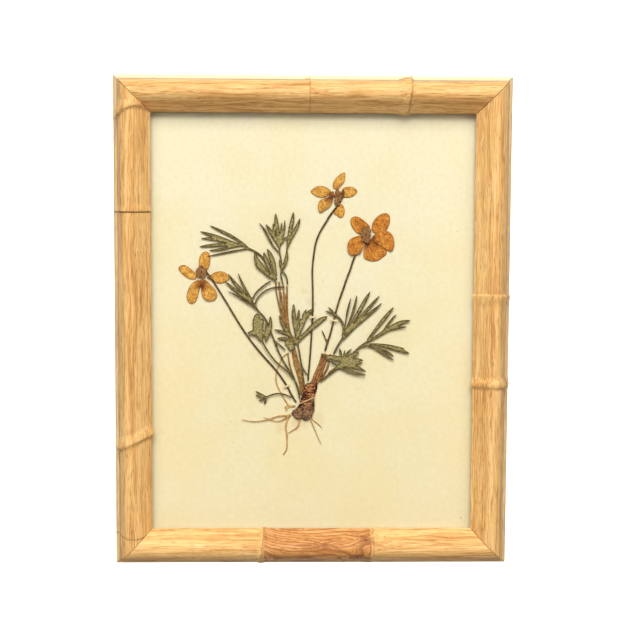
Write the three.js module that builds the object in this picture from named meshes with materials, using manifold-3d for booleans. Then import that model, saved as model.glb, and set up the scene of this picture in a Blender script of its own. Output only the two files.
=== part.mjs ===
// A pressed flower frame: a mitred faux-bamboo moulding with glass, sheet and backing board, and one
// whole pressed herb laid out in thin layers between the sheet and the glass.
//
// Millimetres, +Z up, the front faces -Y. The origin is on the back face of the top rail, at its middle.
// The specimen's points are drawn on the sheet as [x, z] from the middle of the sheet.

import * as THREE from 'three';
import Module from 'manifold-3d';
import { mergeVertices } from 'three/addons/utils/BufferGeometryUtils.js';

const wasm = await Module();
wasm.setup();

// ---- driving dimensions --------------------------------------------------------------------------

const SIGHT_W = 203.2; // opening seen from the front
const SIGHT_H = 263.1;
const RABBET = 7.15; // how far the lip covers the glass, with its clearance
const CLEARANCE = 0.8; // of the glass in the rabbet, on each side
const GAP = 0.3; // between pieces that touch

const LIP_BACK = 10.0; // heights above the back face of the moulding
const LIP_FRONT = 10.6;
const CROWN_RADIUS = 10.6; // half the width of the crown
const CROWN_RISE = 9.9; // of the crown above the lip
const SLOPE_W = 6.5; // the crown rises from the lip in a straight slope this wide,
const APEX = 12; // rounds over to its highest line here, and falls in a quarter round outside it
const FLANGE_TOP = 8.2; // where the crown's outer flank meets the back flange
const FLANGE_STEP = 1.4; // the flange's rounded edge: first out and down by these
const FLANGE_FALL = 1.0;
const FLANGE_SIDE = 5.0; // height at which it meets the straight side
const MOULDING_W = 23.5;
const ORIGIN_OUT = 10; // the origin lies this far out from the sight edge on the top rail

const GLASS = 1.6;
const SPECIMEN_SPACE = 3.1; // between glass and sheet
const SHEET = 0.3;
const BOARD = 2.5;

const LAYER = 0.28; // thickness of a pressed layer, and of the gap below it
const SPECIMEN_RISE = 0.989; // drawn height to real height on the sheet
const SPECIMEN_DROP = 0.4;

const GLASS_BACK = LIP_BACK - GAP - GLASS;
const SHEET_FRONT = GLASS_BACK - SPECIMEN_SPACE;
const BOARD_FRONT = SHEET_FRONT - SHEET - GAP;
const BOARD_BACK = BOARD_FRONT - BOARD;
const FILL_W = SIGHT_W + 2 * (RABBET - CLEARANCE);
const FILL_H = SIGHT_H + 2 * (RABBET - CLEARANCE);

// ---- materials -----------------------------------------------------------------------------------

const finish = (color, roughness, metalness = 0, extra = {}) => (
  () => new THREE.MeshStandardMaterial({ color, roughness, metalness, ...extra }));
const wood = finish(0xdcae74, 0.5);
const glass = finish(0xf4f8f5, 0.05, 0, { transparent: true, opacity: 0.2 });
const paper = finish(0xf4ebc2, 0.9);
const board = finish(0x9a7b55, 0.85);
const steel = finish(0xb9b9b4, 0.4, 1);
const brassed = finish(0xc9a24e, 0.35, 1);
const golden = finish(0xd98f2b, 0.8);
const calyxBrown = finish(0x7f5a34, 0.85);
const olive = finish(0x6d6636, 0.85);
const stemBrown = finish(0x5a3f1e, 0.8);
const stalkBrown = finish(0x7a5228, 0.85);
const redBrown = finish(0x6b3517, 0.85);
const crownBrown = finish(0x4a2a1c, 0.9);
const rootBrown = finish(0xb58a52, 0.9);
const strapPaper = finish(0xefe2bd, 0.9);

// ---- joining and cutting --------------------------------------------------------------------------

function solid(geometry) {
  const bare = geometry.clone();
  bare.deleteAttribute('normal');
  bare.deleteAttribute('uv');
  const merged = mergeVertices(bare, 1e-5);
  return new wasm.Manifold(new wasm.Mesh({
    numProp: 3,
    vertProperties: new Float32Array(merged.attributes.position.array),
    triVerts: new Uint32Array(merged.index.array),
  }));
}

function geometryOf(body) {
  const mesh = body.getMesh();
  const geometry = new THREE.BufferGeometry();
  geometry.setAttribute('position', new THREE.BufferAttribute(new Float32Array(mesh.vertProperties), 3));
  geometry.setIndex(new THREE.BufferAttribute(new Uint32Array(mesh.triVerts), 1));
  const flat = geometry.toNonIndexed();
  flat.computeVertexNormals();
  return flat;
}

const join = (bodies) => bodies.reduce((whole, body) => whole.add(body));

const frame = new THREE.Group();
frame.position.z = -(SIGHT_H / 2 + ORIGIN_OUT);

function piece(name, geometry, material) {
  const mesh = new THREE.Mesh(geometry, material());
  mesh.name = name;
  frame.add(mesh);
  return mesh;
}

// ---- the moulding --------------------------------------------------------------------------------

// Each rail is drawn along its own length, t, with s out from the sight edge and d up from the back.
// A ring is a carved bamboo node: it rises over `rise` to its crest, falls over `fall`, and its line
// bends by `bow` at the crown and slants by `slant` from the outer to the inner side.

const SWELL_END = 0.5; // how much of a ring's height the flange keeps
const INNER_STEPS = 3; // of the rounding between slope and apex
const OUTER_STEPS = 5;
const OVERRUN = 6.3; // drawn past the mitre before it is cut

function profile() {
  const flank = 2 * CROWN_RADIUS;
  const slope = CROWN_RISE / (SLOPE_W + (APEX - SLOPE_W) / 2);
  const points = [
    { s: 0, d: LIP_BACK, swell: 0 },
    { s: 0, d: LIP_FRONT, out: -1, up: 0, swell: 1 },
    { s: SLOPE_W / 2, d: LIP_FRONT + (slope * SLOPE_W) / 2, out: -Math.SQRT1_2, up: Math.SQRT1_2, swell: 1 },
  ];
  for (let i = 0; i < INNER_STEPS; i++) {
    const left = 1 - i / INNER_STEPS; // share of the rounding still to come
    const length = Math.hypot(slope * left, 1);
    points.push({
      s: APEX - left * (APEX - SLOPE_W),
      d: LIP_FRONT + CROWN_RISE - (slope * left * left * (APEX - SLOPE_W)) / 2,
      out: (-slope * left) / length,
      up: 1 / length,
      swell: 1,
    });
  }
  for (let i = 0; i <= OUTER_STEPS; i++) {
    const a = (Math.PI / 2) * (1 - i / OUTER_STEPS);
    points.push({
      s: APEX + (flank - APEX) * Math.cos(a),
      d: LIP_FRONT + CROWN_RISE * Math.sin(a),
      out: Math.cos(a),
      up: Math.sin(a),
      swell: 1,
    });
  }
  points.push({ s: flank, d: FLANGE_TOP, out: 1, up: 0, swell: 1 });
  const edge = { out: Math.SQRT1_2, up: Math.SQRT1_2, swell: SWELL_END };
  points.push({ s: flank + FLANGE_STEP, d: FLANGE_TOP - FLANGE_FALL, ...edge });
  points.push({ s: MOULDING_W, d: FLANGE_SIDE, out: 1, up: 0, swell: SWELL_END });
  points.push({ s: MOULDING_W, d: 0, swell: 0 });
  points.push({ s: RABBET, d: 0, swell: 0 });
  points.push({ s: RABBET, d: LIP_BACK, swell: 0 });
  return points;
}

function ringSwell(ring, t, s) {
  const across = s / CROWN_RADIUS - 1; // -1 at the sight edge, 0 on the crown, 1 outside
  const line = ring.at + ring.bow * (1 - across * across) - ring.slant * across;
  const along = t - line;
  const reach = along > 0 ? ring.after : ring.before;
  const x = Math.min(1, Math.abs(along) / reach);
  return ring.height * (1 - x * x * (3 - 2 * x));
}

function railBody(length, rings) {
  const outline = profile();
  const half = length / 2 + MOULDING_W + OVERRUN;
  const stations = [-half, half];
  for (const ring of rings) {
    const steps = [-ring.before, -ring.before / 2, 0, ring.after / 2, ring.after];
    stations.push(...steps.map((step) => ring.at + step));
  }
  stations.sort((a, b) => a - b);
  const grid = stations.map((t) => outline.map((p) => {
    const bow = rings.reduce((sum, ring) => {
      const near = Math.max(0, 1 - Math.abs(t - ring.at) / (ring.before + ring.after));
      const across = p.s / CROWN_RADIUS - 1;
      return sum + near * (ring.bow * (1 - across * across) - ring.slant * across);
    }, 0);
    const place = Math.abs(t) === half ? t : t + bow;
    const height = rings.reduce((sum, ring) => sum + ringSwell(ring, place, p.s), 0);
    const push = height * p.swell;
    return [p.s + push * (p.out ?? 0), p.d + push * (p.up ?? 0), place];
  }));
  const count = outline.length;
  const positions = grid.flat().flat();
  const index = [];
  for (let i = 0; i + 1 < grid.length; i++) {
    for (let j = 0; j < count; j++) {
      const a = i * count + j;
      const b = i * count + ((j + 1) % count);
      index.push(a, a + count, b, b, a + count, b + count);
    }
  }
  const flat = outline.map((p) => new THREE.Vector2(p.s, p.d));
  const last = (grid.length - 1) * count;
  for (const [a, b, c] of THREE.ShapeUtils.triangulateShape(flat, [])) {
    const turned = THREE.ShapeUtils.area([flat[a], flat[b], flat[c]]) * THREE.ShapeUtils.area(flat) < 0;
    const [second, third] = turned ? [c, b] : [b, c];
    index.push(a, second, third);
    index.push(last + a, last + third, last + second);
  }
  const geometry = new THREE.BufferGeometry();
  geometry.setAttribute('position', new THREE.Float32BufferAttribute(positions, 3));
  geometry.setIndex(index);
  return solid(geometry);
}

// Turns (s, d, t) into the frame: `out` is the direction away from the opening, `along` the length.
function rail(name, length, edge, out, along, rings, recess) {
  const front = new THREE.Vector3(0, -1, 0);
  const basis = new THREE.Matrix4().makeBasis(out, front, along);
  basis.setPosition(out.clone().multiplyScalar(edge));
  let body = railBody(length, rings).trimByPlane([Math.SQRT1_2, 0, -Math.SQRT1_2], -mitre(length));
  body = body.trimByPlane([Math.SQRT1_2, 0, Math.SQRT1_2], -mitre(length));
  if (recess) body = body.subtract(recess);
  const geometry = geometryOf(body);
  geometry.applyMatrix4(basis);
  if (basis.determinant() < 0) flip(geometry);
  piece(name, geometry, wood);
}

const mitre = (length) => (length / 2) * Math.SQRT1_2 - GAP / 2;

function flip(geometry) {
  const p = geometry.attributes.position;
  const from = new THREE.Vector3();
  const to = new THREE.Vector3();
  for (let i = 0; i < p.count; i += 3) {
    from.fromBufferAttribute(p, i + 1);
    to.fromBufferAttribute(p, i + 2);
    p.setXYZ(i + 1, to.x, to.y, to.z);
    p.setXYZ(i + 2, from.x, from.y, from.z);
  }
  geometry.computeVertexNormals();
}

const RIGHT = new THREE.Vector3(1, 0, 0);
const UP = new THREE.Vector3(0, 0, 1);
const ring = (at, height, before, after, bow = 0, slant = 0) => (
  { at, height, before, after, bow, slant });

// The sawtooth hanger lies in a shallow recess in the back of the top rail
const HANGER_W = 44;
const HANGER_H = 7.2;
const HANGER_OUT = 16.6; // middle of the hanger, out from the sight edge
const RECESS_MARGIN = 0.6;
const RECESS_DEPTH = 2.6;
const spare = 2 * RECESS_MARGIN;
const recess = new THREE.BoxGeometry(HANGER_H + spare, 2 * RECESS_DEPTH, HANGER_W + spare);
recess.translate(HANGER_OUT, 0, 0);

rail('left_rail', SIGHT_H, SIGHT_W / 2, RIGHT.clone().negate(), UP, [
  ring(-74.5, 1.4, 3, 7, 0.5, 4.5),
  ring(70, 0.5, 1.5, 5),
  ring(131, 1.5, 2.5, 8, 4.5, 2),
]);
rail('right_rail', SIGHT_H, SIGHT_W / 2, RIGHT, UP, [
  ring(-38.8, 1.3, 4, 5.4, 0.6),
  ring(17.4, 0.9, 8, 1.8, 0.8),
]);
rail('top_rail', SIGHT_W, SIGHT_H / 2, UP, RIGHT, [
  ring(-3, 0.4, 5, 1.5),
  ring(58.5, 1.4, 8, 4, 0, -1),
], solid(recess));
rail('bottom_rail', SIGHT_W, SIGHT_H / 2, UP.clone().negate(), RIGHT, [
  ring(-31.5, 1.0, 4, 4, 0, 1),
  ring(38.2, 0.5, 6, 1.5, 0.5),
]);

// ---- glass, sheet, board and what holds them ------------------------------------------------------

function slab(name, width, height, thick, front, material) {
  const mesh = piece(name, new THREE.BoxGeometry(width, thick, height), material);
  mesh.position.y = -front + thick / 2;
  return mesh;
}

slab('glass_pane', FILL_W, FILL_H, GLASS, LIP_BACK - GAP, glass);
slab('mounting_sheet', FILL_W, FILL_H, SHEET, SHEET_FRONT, paper);
slab('backing_board', FILL_W, FILL_H, BOARD, BOARD_FRONT, board);

const POINT_REACH = 11;
const POINT_W = 6;
const POINT_THICK = 0.5;
const POINT_ALONG = 80; // from the middle of the board's long sides
let pointNumber = 0;
for (const side of [-1, 1]) {
  for (const level of [-1, 1]) {
    const tip = new THREE.Shape();
    tip.moveTo(0, -POINT_W / 2);
    tip.lineTo(0, POINT_W / 2);
    tip.lineTo(-POINT_REACH, POINT_W / 5);
    tip.lineTo(-POINT_REACH, -POINT_W / 5);
    const geometry = new THREE.ExtrudeGeometry(tip, { depth: POINT_THICK, bevelEnabled: false });
    geometry.rotateX(Math.PI / 2);
    if (side < 0) geometry.rotateY(Math.PI);
    pointNumber += 1;
    const mesh = piece(`retaining_point_${pointNumber}`, geometry, steel);
    const wall = SIGHT_W / 2 + RABBET - GAP;
    const drop = BOARD_BACK - GAP;
    mesh.position.set(side * wall, POINT_THICK - drop, level * POINT_ALONG);
  }
}

const HANGER_THICK = 0.9;
const HANGER_BACK = -(RECESS_DEPTH - GAP - HANGER_THICK);
const HANGER_END = 7; // plain length at each end, beside the teeth
const TEETH = 9;
const TOOTH_DEPTH = 1.6;
const NAIL_HEAD = 1.6; // radius
const NAIL_HEAD_THICK = 0.5;
const NAIL_SPREAD = 18;

const plate = new THREE.Shape();
plate.moveTo(-HANGER_W / 2, HANGER_H / 2);
plate.lineTo(-HANGER_W / 2, -HANGER_H / 2);
const pitch = (HANGER_W - 2 * HANGER_END) / TEETH;
for (let i = 0; i < TEETH; i++) {
  const start = -HANGER_W / 2 + HANGER_END + i * pitch;
  plate.lineTo(start, -HANGER_H / 2);
  plate.lineTo(start + pitch / 2, -HANGER_H / 2 + TOOTH_DEPTH);
}
plate.lineTo(HANGER_W / 2 - HANGER_END, -HANGER_H / 2);
plate.lineTo(HANGER_W / 2, -HANGER_H / 2);
plate.lineTo(HANGER_W / 2, HANGER_H / 2);
const plateGeometry = new THREE.ExtrudeGeometry(plate, { depth: HANGER_THICK, bevelEnabled: false });
plateGeometry.rotateX(Math.PI / 2);
const hanger = piece('hanger_plate', plateGeometry, brassed);
hanger.position.set(0, HANGER_BACK, SIGHT_H / 2 + HANGER_OUT);
for (const [name, side] of [['hanger_nail_left', -1], ['hanger_nail_right', 1]]) {
  const head = piece(name, new THREE.CylinderGeometry(NAIL_HEAD, NAIL_HEAD, NAIL_HEAD_THICK, 12), brassed);
  const middle = HANGER_BACK + GAP + NAIL_HEAD_THICK / 2;
  head.position.set(side * NAIL_SPREAD, middle, SIGHT_H / 2 + HANGER_OUT);
}

// ---- the specimen: outlines pressed flat ----------------------------------------------------------

const onSheet = ([x, z]) => [x, z * SPECIMEN_RISE - SPECIMEN_DROP];

// A flat piece from a closed outline, in pressed layer 0 (on the sheet) to 3 (under the glass).
function pressed(outline, layer, layers = 1) {
  const shape = new THREE.Shape(outline.map((p) => new THREE.Vector2(...p)));
  const depth = LAYER * (2 * layers - 1);
  const geometry = new THREE.ExtrudeGeometry(shape, { depth, bevelEnabled: false });
  geometry.rotateX(Math.PI / 2);
  geometry.translate(0, -(SHEET_FRONT + LAYER * (2 * layer + 1)), 0);
  return solid(geometry);
}

function smooth(points, count, closed) {
  const curve = new THREE.CatmullRomCurve3(
    points.map((p) => new THREE.Vector3(...onSheet(p), 0)), closed, 'centripetal');
  const samples = curve.getPoints(count);
  if (closed) samples.pop();
  return samples;
}

const petal = (points, layer, steps = 16) => (
  pressed(smooth(points, steps, true).map((p) => [p.x, p.y]), layer));

// A tapered stroke along a line of points: `shape(u)` is its share of the width from first to last.
function stroke(points, width, layer, shape, steps, layers) {
  const line = smooth(points, steps, false);
  const left = [];
  const right = [];
  line.forEach((p, i) => {
    const before = line[Math.max(0, i - 1)];
    const after = line[Math.min(line.length - 1, i + 1)];
    const length = Math.hypot(after.x - before.x, after.y - before.y);
    const half = (width / 2) * shape(i / steps);
    const side = [(-(after.y - before.y) / length) * half, ((after.x - before.x) / length) * half];
    left.push([p.x + side[0], p.y + side[1]]);
    right.unshift([p.x - side[0], p.y - side[1]]);
  });
  return pressed([...left, ...right], layer, layers);
}

const LOBE_TIP = 0.3; // a lobe starts at this share of its width, and
const LOBE_WIDEST = 0.45; // is full this far along
const TAPER = 0.55; // width lost by the far end of a lobe or root
const LOBE_STEPS = 4;

function lobeShape(u) {
  if (u < LOBE_WIDEST) return LOBE_TIP + (1 - LOBE_TIP) * Math.sin((Math.PI / 2) * (u / LOBE_WIDEST));
  return 1 - (TAPER * (u - LOBE_WIDEST)) / (1 - LOBE_WIDEST);
}
const stemShape = () => 1;
const rootShape = (u) => 1 - TAPER * u;

const lobe = (layer, width, ...points) => stroke(points, width, layer, lobeShape, LOBE_STEPS);
const stem = (layer, width, ...points) => stroke(points, width, layer, stemShape, points.length - 1);
const root = (layer, width, ...points) => stroke(points, width, layer, rootShape, points.length);

// The crown fills every layer, so what grows from it stops a gap short of its outline.
const CROWN = [[-4, -38.8], [0, -38.2], [3.6, -38.8], [2.8, -43.5], [1.3, -48], [1.5, -53], [1.3, -57],
  [-0.5, -61], [-4, -63.3], [-7.3, -61.6], [-9.5, -62.5], [-11.6, -60.6], [-13.4, -58.4], [-12.4, -56.4],
  [-9.5, -54.6], [-8, -51.5], [-7, -47.5], [-5.4, -43]];
const CROWN_LAYERS = 4;
const CROWN_MARGIN = 1.06; // size of the room that the crown keeps free

function crownOutline(grow) {
  const outline = CROWN.map(onSheet);
  const middle = outline.reduce((sum, p) => [sum[0] + p[0], sum[1] + p[1]], [0, 0])
    .map((v) => v / outline.length);
  return outline.map((p) => p.map((v, k) => middle[k] + (v - middle[k]) * grow));
}

const around = pressed(crownOutline(CROWN_MARGIN), -0.5, CROWN_LAYERS + 1);
const grown = (name, bodies, material) => (
  piece(name, geometryOf(join(bodies).subtract(around)), material));

// A knobbly lump: a thin plate with flattened scales and buds on it.
const KNOBS = [[-1.5, -42, 3.6], [-1, -47.5, 3.2], [-3.6, -52, 3.8], [-8.5, -58.5, 4], [-3, -58.5, 4.2]];
const CROWN_PLATE = 2;
const knobs = KNOBS.map(([x, z, radius]) => {
  const geometry = new THREE.IcosahedronGeometry(radius, 1);
  geometry.scale(1, (LAYER * (2 * CROWN_LAYERS - 1)) / 2 / radius, 1);
  const [px, pz] = onSheet([x, z]);
  geometry.translate(px, -(SHEET_FRONT + LAYER * (CROWN_LAYERS + 0.5)), pz);
  return solid(geometry).intersect(pressed(crownOutline(1), 0, CROWN_LAYERS));
});
piece('crown', geometryOf(join([pressed(crownOutline(1), 0, CROWN_PLATE), ...knobs])), crownBrown);

// Left flower, seen from behind
piece('left_flower_petal_top', geometryOf(petal([[-71.5, 34.5], [-72, 38], [-71.5, 42], [-69.5, 45],
  [-67, 45.8], [-65, 44], [-64.6, 40.5], [-65.2, 36.5], [-66.5, 34], [-69, 33.5]], 0)), golden);
piece('left_flower_petal_left', geometryOf(petal([[-74, 28], [-77.5, 28], [-81, 30], [-84, 33],
  [-84.8, 35.5], [-83, 36.8], [-80.5, 37], [-77.5, 35], [-74.6, 32.5], [-73, 30]], 0)), golden);
piece('left_flower_petal_right', geometryOf(petal([[-65.8, 28.6], [-63.5, 31.5], [-60, 33], [-56, 32.8],
  [-53.5, 30.5], [-52.8, 28], [-55, 26.3], [-58, 25.2], [-60.5, 25.5], [-63, 26.8]], 0)), golden);
piece('left_flower_petal_low_left', geometryOf(petal([[-73.4, 27.4], [-77, 24.5], [-79, 20.5],
  [-79.8, 16.5], [-78.5, 13], [-76.3, 12], [-74, 13.5], [-72.4, 17], [-71.6, 21], [-70.8, 24],
  [-70.6, 27]], 0)), golden);
piece('left_flower_petal_lip', geometryOf(petal([[-71.5, 27.8], [-68, 28], [-64.8, 24.8], [-62, 22],
  [-60.2, 18.5], [-61, 15.8], [-64, 14], [-67, 14.3], [-69.5, 16.5], [-70.4, 19.5], [-70.6, 23]],
1)), golden);
piece('left_flower_calyx', geometryOf(join([
  petal([[-73, 29], [-73.2, 33], [-71.5, 35.5], [-68, 35.2], [-66.3, 32.5], [-67.5, 29.4], [-70, 28.2]], 2),
  stem(2, 0.8, [-72, 34], [-73.6, 35.4], [-73.3, 37], [-71.8, 36.6]),
])), calyxBrown);

// Top flower
piece('top_flower_petal_top', geometryOf(petal([[12.2, 88], [13, 91], [15.5, 94], [18.5, 96],
  [20, 96.3], [20.1, 93.5], [19.7, 90.5], [17.8, 88], [16, 86], [13, 85.8]], 0)), golden);
piece('top_flower_petal_left', geometryOf(petal([[-1.8, 84], [0, 86], [3, 87.6], [6.5, 87.5], [9.5, 86],
  [11.4, 84.2], [9.8, 81.6], [6.5, 80.2], [3, 80.6], [0, 82.3]], 0)), golden);
piece('top_flower_petal_right', geometryOf(petal([[18.2, 81.6], [18.2, 86], [22, 87.3], [24.5, 87.2],
  [26.5, 86], [28, 84.3], [26, 82], [23, 80.5], [20.5, 80.3]], 0)), golden);
piece('top_flower_petal_lip', geometryOf(petal([[13.2, 84.5], [10.9, 84], [10.3, 81], [8, 80],
  [5.6, 79.5], [3.8, 78], [2.8, 75.5], [3.3, 72], [4.2, 70.8], [6, 71], [7, 72.5], [10, 73.8],
  [11.4, 76], [12.6, 79]], 1)), golden);
piece('top_flower_petal_low_right', geometryOf(petal([[14.2, 74.5], [16, 76], [18.2, 76], [19.6, 74],
  [20, 71], [19, 68.3], [17, 67.3], [15, 69], [13.2, 70], [13.5, 72]], 0)), golden);
piece('top_flower_calyx', geometryOf(join([
  petal([[13, 81], [13.2, 84.6], [15, 86.2], [17.4, 86], [18.4, 84], [18.2, 81.5], [16, 79.8]], 2),
  stem(2, 1.1, [14.8, 80.5], [14, 78], [13.7, 75]),
])), calyxBrown);

// Right flower, the widest
piece('right_flower_petal_top_left', geometryOf(petal([[28, 57.5], [25, 61], [23.3, 65], [24.2, 67.5],
  [26.5, 68.5], [29.5, 67.8], [32.5, 65.5], [35.5, 62.8], [36.2, 61], [33, 59], [30, 57.2]], 0)), golden);
piece('right_flower_petal_top_right', geometryOf(petal([[37, 60], [37.5, 64.5], [39.5, 67.3], [42, 69.5],
  [45, 70.7], [47.8, 70], [48.7, 67], [48.3, 63.5], [46.5, 60], [43, 57.5], [39, 57.5]], 0)), golden);
piece('right_flower_petal_right', geometryOf(petal([[37, 55], [41, 58.5], [45, 59.8], [48.5, 58.5],
  [50.8, 55.5], [51.5, 51], [50.8, 47.5], [49, 46], [46.5, 47.3], [42, 50], [38, 52.5]], 1)), golden);
piece('right_flower_petal_lip', geometryOf(petal([[33, 51], [31.9, 45], [32.2, 42], [34.5, 40.5],
  [37.5, 39.8], [40.5, 40], [43.5, 41.8], [46, 43.8], [47, 46], [44.5, 49.5], [40, 53.5], [36, 54.5]],
0)), golden);
piece('right_flower_petal_left', geometryOf(petal([[28, 56], [25, 55], [22.5, 53], [21.7, 50],
  [22, 46.5], [23.3, 44.2], [25, 43.8], [27.5, 44.3], [30, 44.8], [31, 47.5], [32.4, 50], [32, 54],
  [30, 56.4]], 2)), golden);
piece('right_flower_calyx', geometryOf(petal([[29.5, 57], [30.3, 61.3], [33, 62.9], [36.3, 62],
  [37.2, 58], [36.6, 54], [35.5, 51], [32, 50.6], [29.8, 53.2]], 3)), calyxBrown);

// Flower stems
grown('stem_left_flower', [
  stem(1, 1.3, [-67.5, 33], [-64.5, 29.5], [-62, 25.5], [-58, 19], [-52, 9], [-46.3, -0.7],
    [-39.5, -11], [-30, -22.7], [-23.5, -29.5], [-16.4, -39.8], [-12.6, -47.5], [-10, -51.3]),
  stem(1, 1.1, [-66.9, 29.6], [-65.4, 28.8], [-63.4, 27.9]),
], stemBrown);
grown('stem_top_flower', [
  stem(1, 1.3, [18.9, 85.6], [19.2, 82.5], [18.2, 80], [15.8, 76], [13.2, 72.3], [10.5, 69],
    [8, 64.5], [4.3, 58.5], [1.7, 52], [0.5, 44], [-0.5, 34], [0, 22], [0.1, 10], [-0.3, -1],
    [-0.9, -12], [-1.7, -24], [-2.4, -32], [-2.8, -39]),
], stemBrown);
grown('stem_right_flower', [
  stem(1, 1.4, [27.5, 47], [26.7, 43.5], [25.3, 40], [23.5, 34], [21.5, 29], [19.3, 22],
    [17, 15.5], [14.8, 8], [13, 0], [11, -8], [9.3, -13], [7.9, -18.2]),
  stem(1, 0.9, [5.9, -4.6], [7.5, -8], [9.1, -12.4]),
], stemBrown);
grown('rhizome_stem', [
  stroke([[7.7, -19.4], [6.6, -24.5], [4, -32], [1.2, -39.5]], 5, 0, (u) => 0.6 + 0.4 * u, 6, 2),
  stroke([[10.6, -24.5], [9, -30], [4.5, -37.5]], 1.8, 0, stemShape, 5, 2),
], redBrown);

// Leaves, each from its lobes' tips down to its stalk
grown('leaf_a', [
  lobe(1, 2.2, [-65, 62.2], [-59, 59.4], [-52, 56], [-44, 51], [-41, 48.3]),
  lobe(1, 2.9, [-71, 58.4], [-64, 56.2], [-57, 53.6], [-50, 51], [-44, 49.6]),
  lobe(1, 2.4, [-70.5, 54], [-64, 53.8], [-57, 52.5], [-49, 50]),
  lobe(1, 2.6, [-71.5, 48.7], [-66, 49.4], [-59, 50], [-52, 50], [-46, 49.6]),
  lobe(1, 2.0, [-65.5, 46.4], [-60, 46.6], [-53, 48.3], [-46, 49.4]),
  lobe(1, 1.5, [-66.5, 42.5], [-60, 44], [-52, 45.6], [-44, 47.2], [-39, 47.4]),
  stem(1, 1.3, [-47, 50], [-43, 49.2], [-40, 47.5], [-36, 45.6], [-32, 42.6], [-28, 36], [-24.8, 30]),
], olive);
grown('leaf_b', [
  lobe(3, 3.8, [-36.8, 45.4], [-35.8, 41], [-33, 37], [-28.5, 31.5], [-25, 28.6]),
  lobe(3, 3.2, [-31, 45.4], [-29.8, 41], [-28, 36.5], [-25, 30]),
  lobe(3, 3.8, [-28.9, 47.6], [-26, 42], [-24.6, 36], [-23.2, 30]),
  lobe(3, 1.8, [-37, 38.4], [-33.5, 35], [-30, 32.6], [-25.2, 28.6]),
  stem(3, 2.4, [-26.5, 32], [-24.4, 29.3], [-23, 27.4]),
], olive);
grown('leaf_c', [
  lobe(2, 1.7, [-34, 64.2], [-30.2, 59.4], [-27.4, 53.4], [-25, 49.2], [-21.4, 45]),
  lobe(2, 2.8, [-29.8, 63.3], [-26.5, 58.4], [-23.3, 53], [-21.2, 48.5]),
  lobe(2, 1.8, [-25, 64], [-24.7, 59], [-22.4, 52.5]),
  lobe(2, 3.2, [-23.6, 70], [-23.2, 64], [-22, 57], [-21.1, 50]),
  lobe(2, 1.7, [-19.8, 64.5], [-20, 58.5], [-20.8, 51.5]),
  lobe(2, 1.7, [-17.8, 66], [-18, 60.5], [-19.6, 54], [-20.8, 50.5]),
  lobe(2, 3.0, [-12.3, 71], [-13.2, 65], [-14.9, 57.5], [-16.3, 50]),
  lobe(2, 2.6, [-8.2, 67], [-10, 61.8], [-13.3, 56], [-16.1, 48.5]),
  stem(2, 1.0, [-16.6, 55.5], [-19, 52.6], [-20.9, 49.6]),
  stem(2, 1.1, [-21.1, 50], [-21, 45], [-20, 40.5], [-19.6, 35]),
  stem(2, 1.1, [-16.2, 50], [-16.4, 45.5], [-17.6, 41], [-19.3, 35]),
  lobe(2, 2.0, [-16, 45.3], [-16.3, 41.5], [-17.8, 37], [-19.4, 34]),
  lobe(2, 1.7, [-21, 41], [-20.6, 37.5], [-19.6, 34]),
  stem(2, 1.1, [-19.6, 36], [-18.8, 33], [-16.8, 30.4], [-16.1, 27], [-16.1, 24.7]),
  stem(2, 1.1, [-19.7, 35.5], [-20.3, 31.6], [-19.6, 28], [-18.8, 24.8]),
], olive);
grown('leaf_d', [
  lobe(2, 1.5, [24.3, 16.6], [22.8, 11], [21.5, 5], [20.5, -2.5]),
  lobe(2, 2.0, [27.9, 18.2], [26.9, 12], [24.6, 4.5], [20.8, -5]),
  lobe(2, 2.8, [36.4, 20.5], [32.4, 13.5], [27, 3.5], [20.5, -7]),
  lobe(2, 2.2, [42.4, 18], [36.8, 11.5], [29, 2.5], [22, -6]),
  lobe(2, 2.4, [43.9, 13.2], [36.5, 6.5], [27.5, -1], [19.5, -10.4]),
  lobe(2, 1.5, [9.8, 10.6], [12.6, 7.6], [15.4, 5]),
  lobe(2, 1.5, [8, 8.1], [11.6, 6.4], [15.2, 4.6]),
  stem(2, 1.6, [14, 6.2], [17.5, 2.7], [19.4, -0.4], [19.9, -4.5], [19, -8.5]),
  stem(2, 1.3, [20.4, -7], [18.2, -11], [15.6, -15], [13.2, -20.2]),
], olive);
grown('leaf_e', [
  lobe(2, 2.6, [51.4, 10.6], [46.6, 4.8], [41, -2.5], [34.6, -11]),
  lobe(2, 1.7, [53.3, 6], [49.4, 1.9], [46.5, -2.6], [42.5, -7.2]),
  lobe(2, 3.2, [62, 2], [55.5, 0.6], [48, -3.8], [35.6, -11.4]),
  lobe(2, 1.7, [60, -2.1], [53, -2.9], [45, -5.6]),
  lobe(2, 3.2, [61.6, -19.4], [55, -16.8], [46, -14.2], [35.8, -13.4]),
  lobe(2, 1.7, [58.5, -16.2], [53.5, -15.4], [47, -14]),
  lobe(2, 1.8, [52, -23.9], [46.5, -20.5], [41, -16.6], [34.4, -14.2]),
  lobe(2, 1.9, [51.7, -21.4], [47.4, -18.2], [40.5, -15.7]),
  stem(2, 1.4, [36.4, -11], [34, -12.3], [31, -14.4], [27.4, -17.6], [22, -23.4], [16.5, -28.4],
    [10.5, -33], [4.8, -37.8]),
  stem(2, 1.1, [36.8, -14.5], [33.5, -14.6], [30, -15.2]),
], olive);
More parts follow.
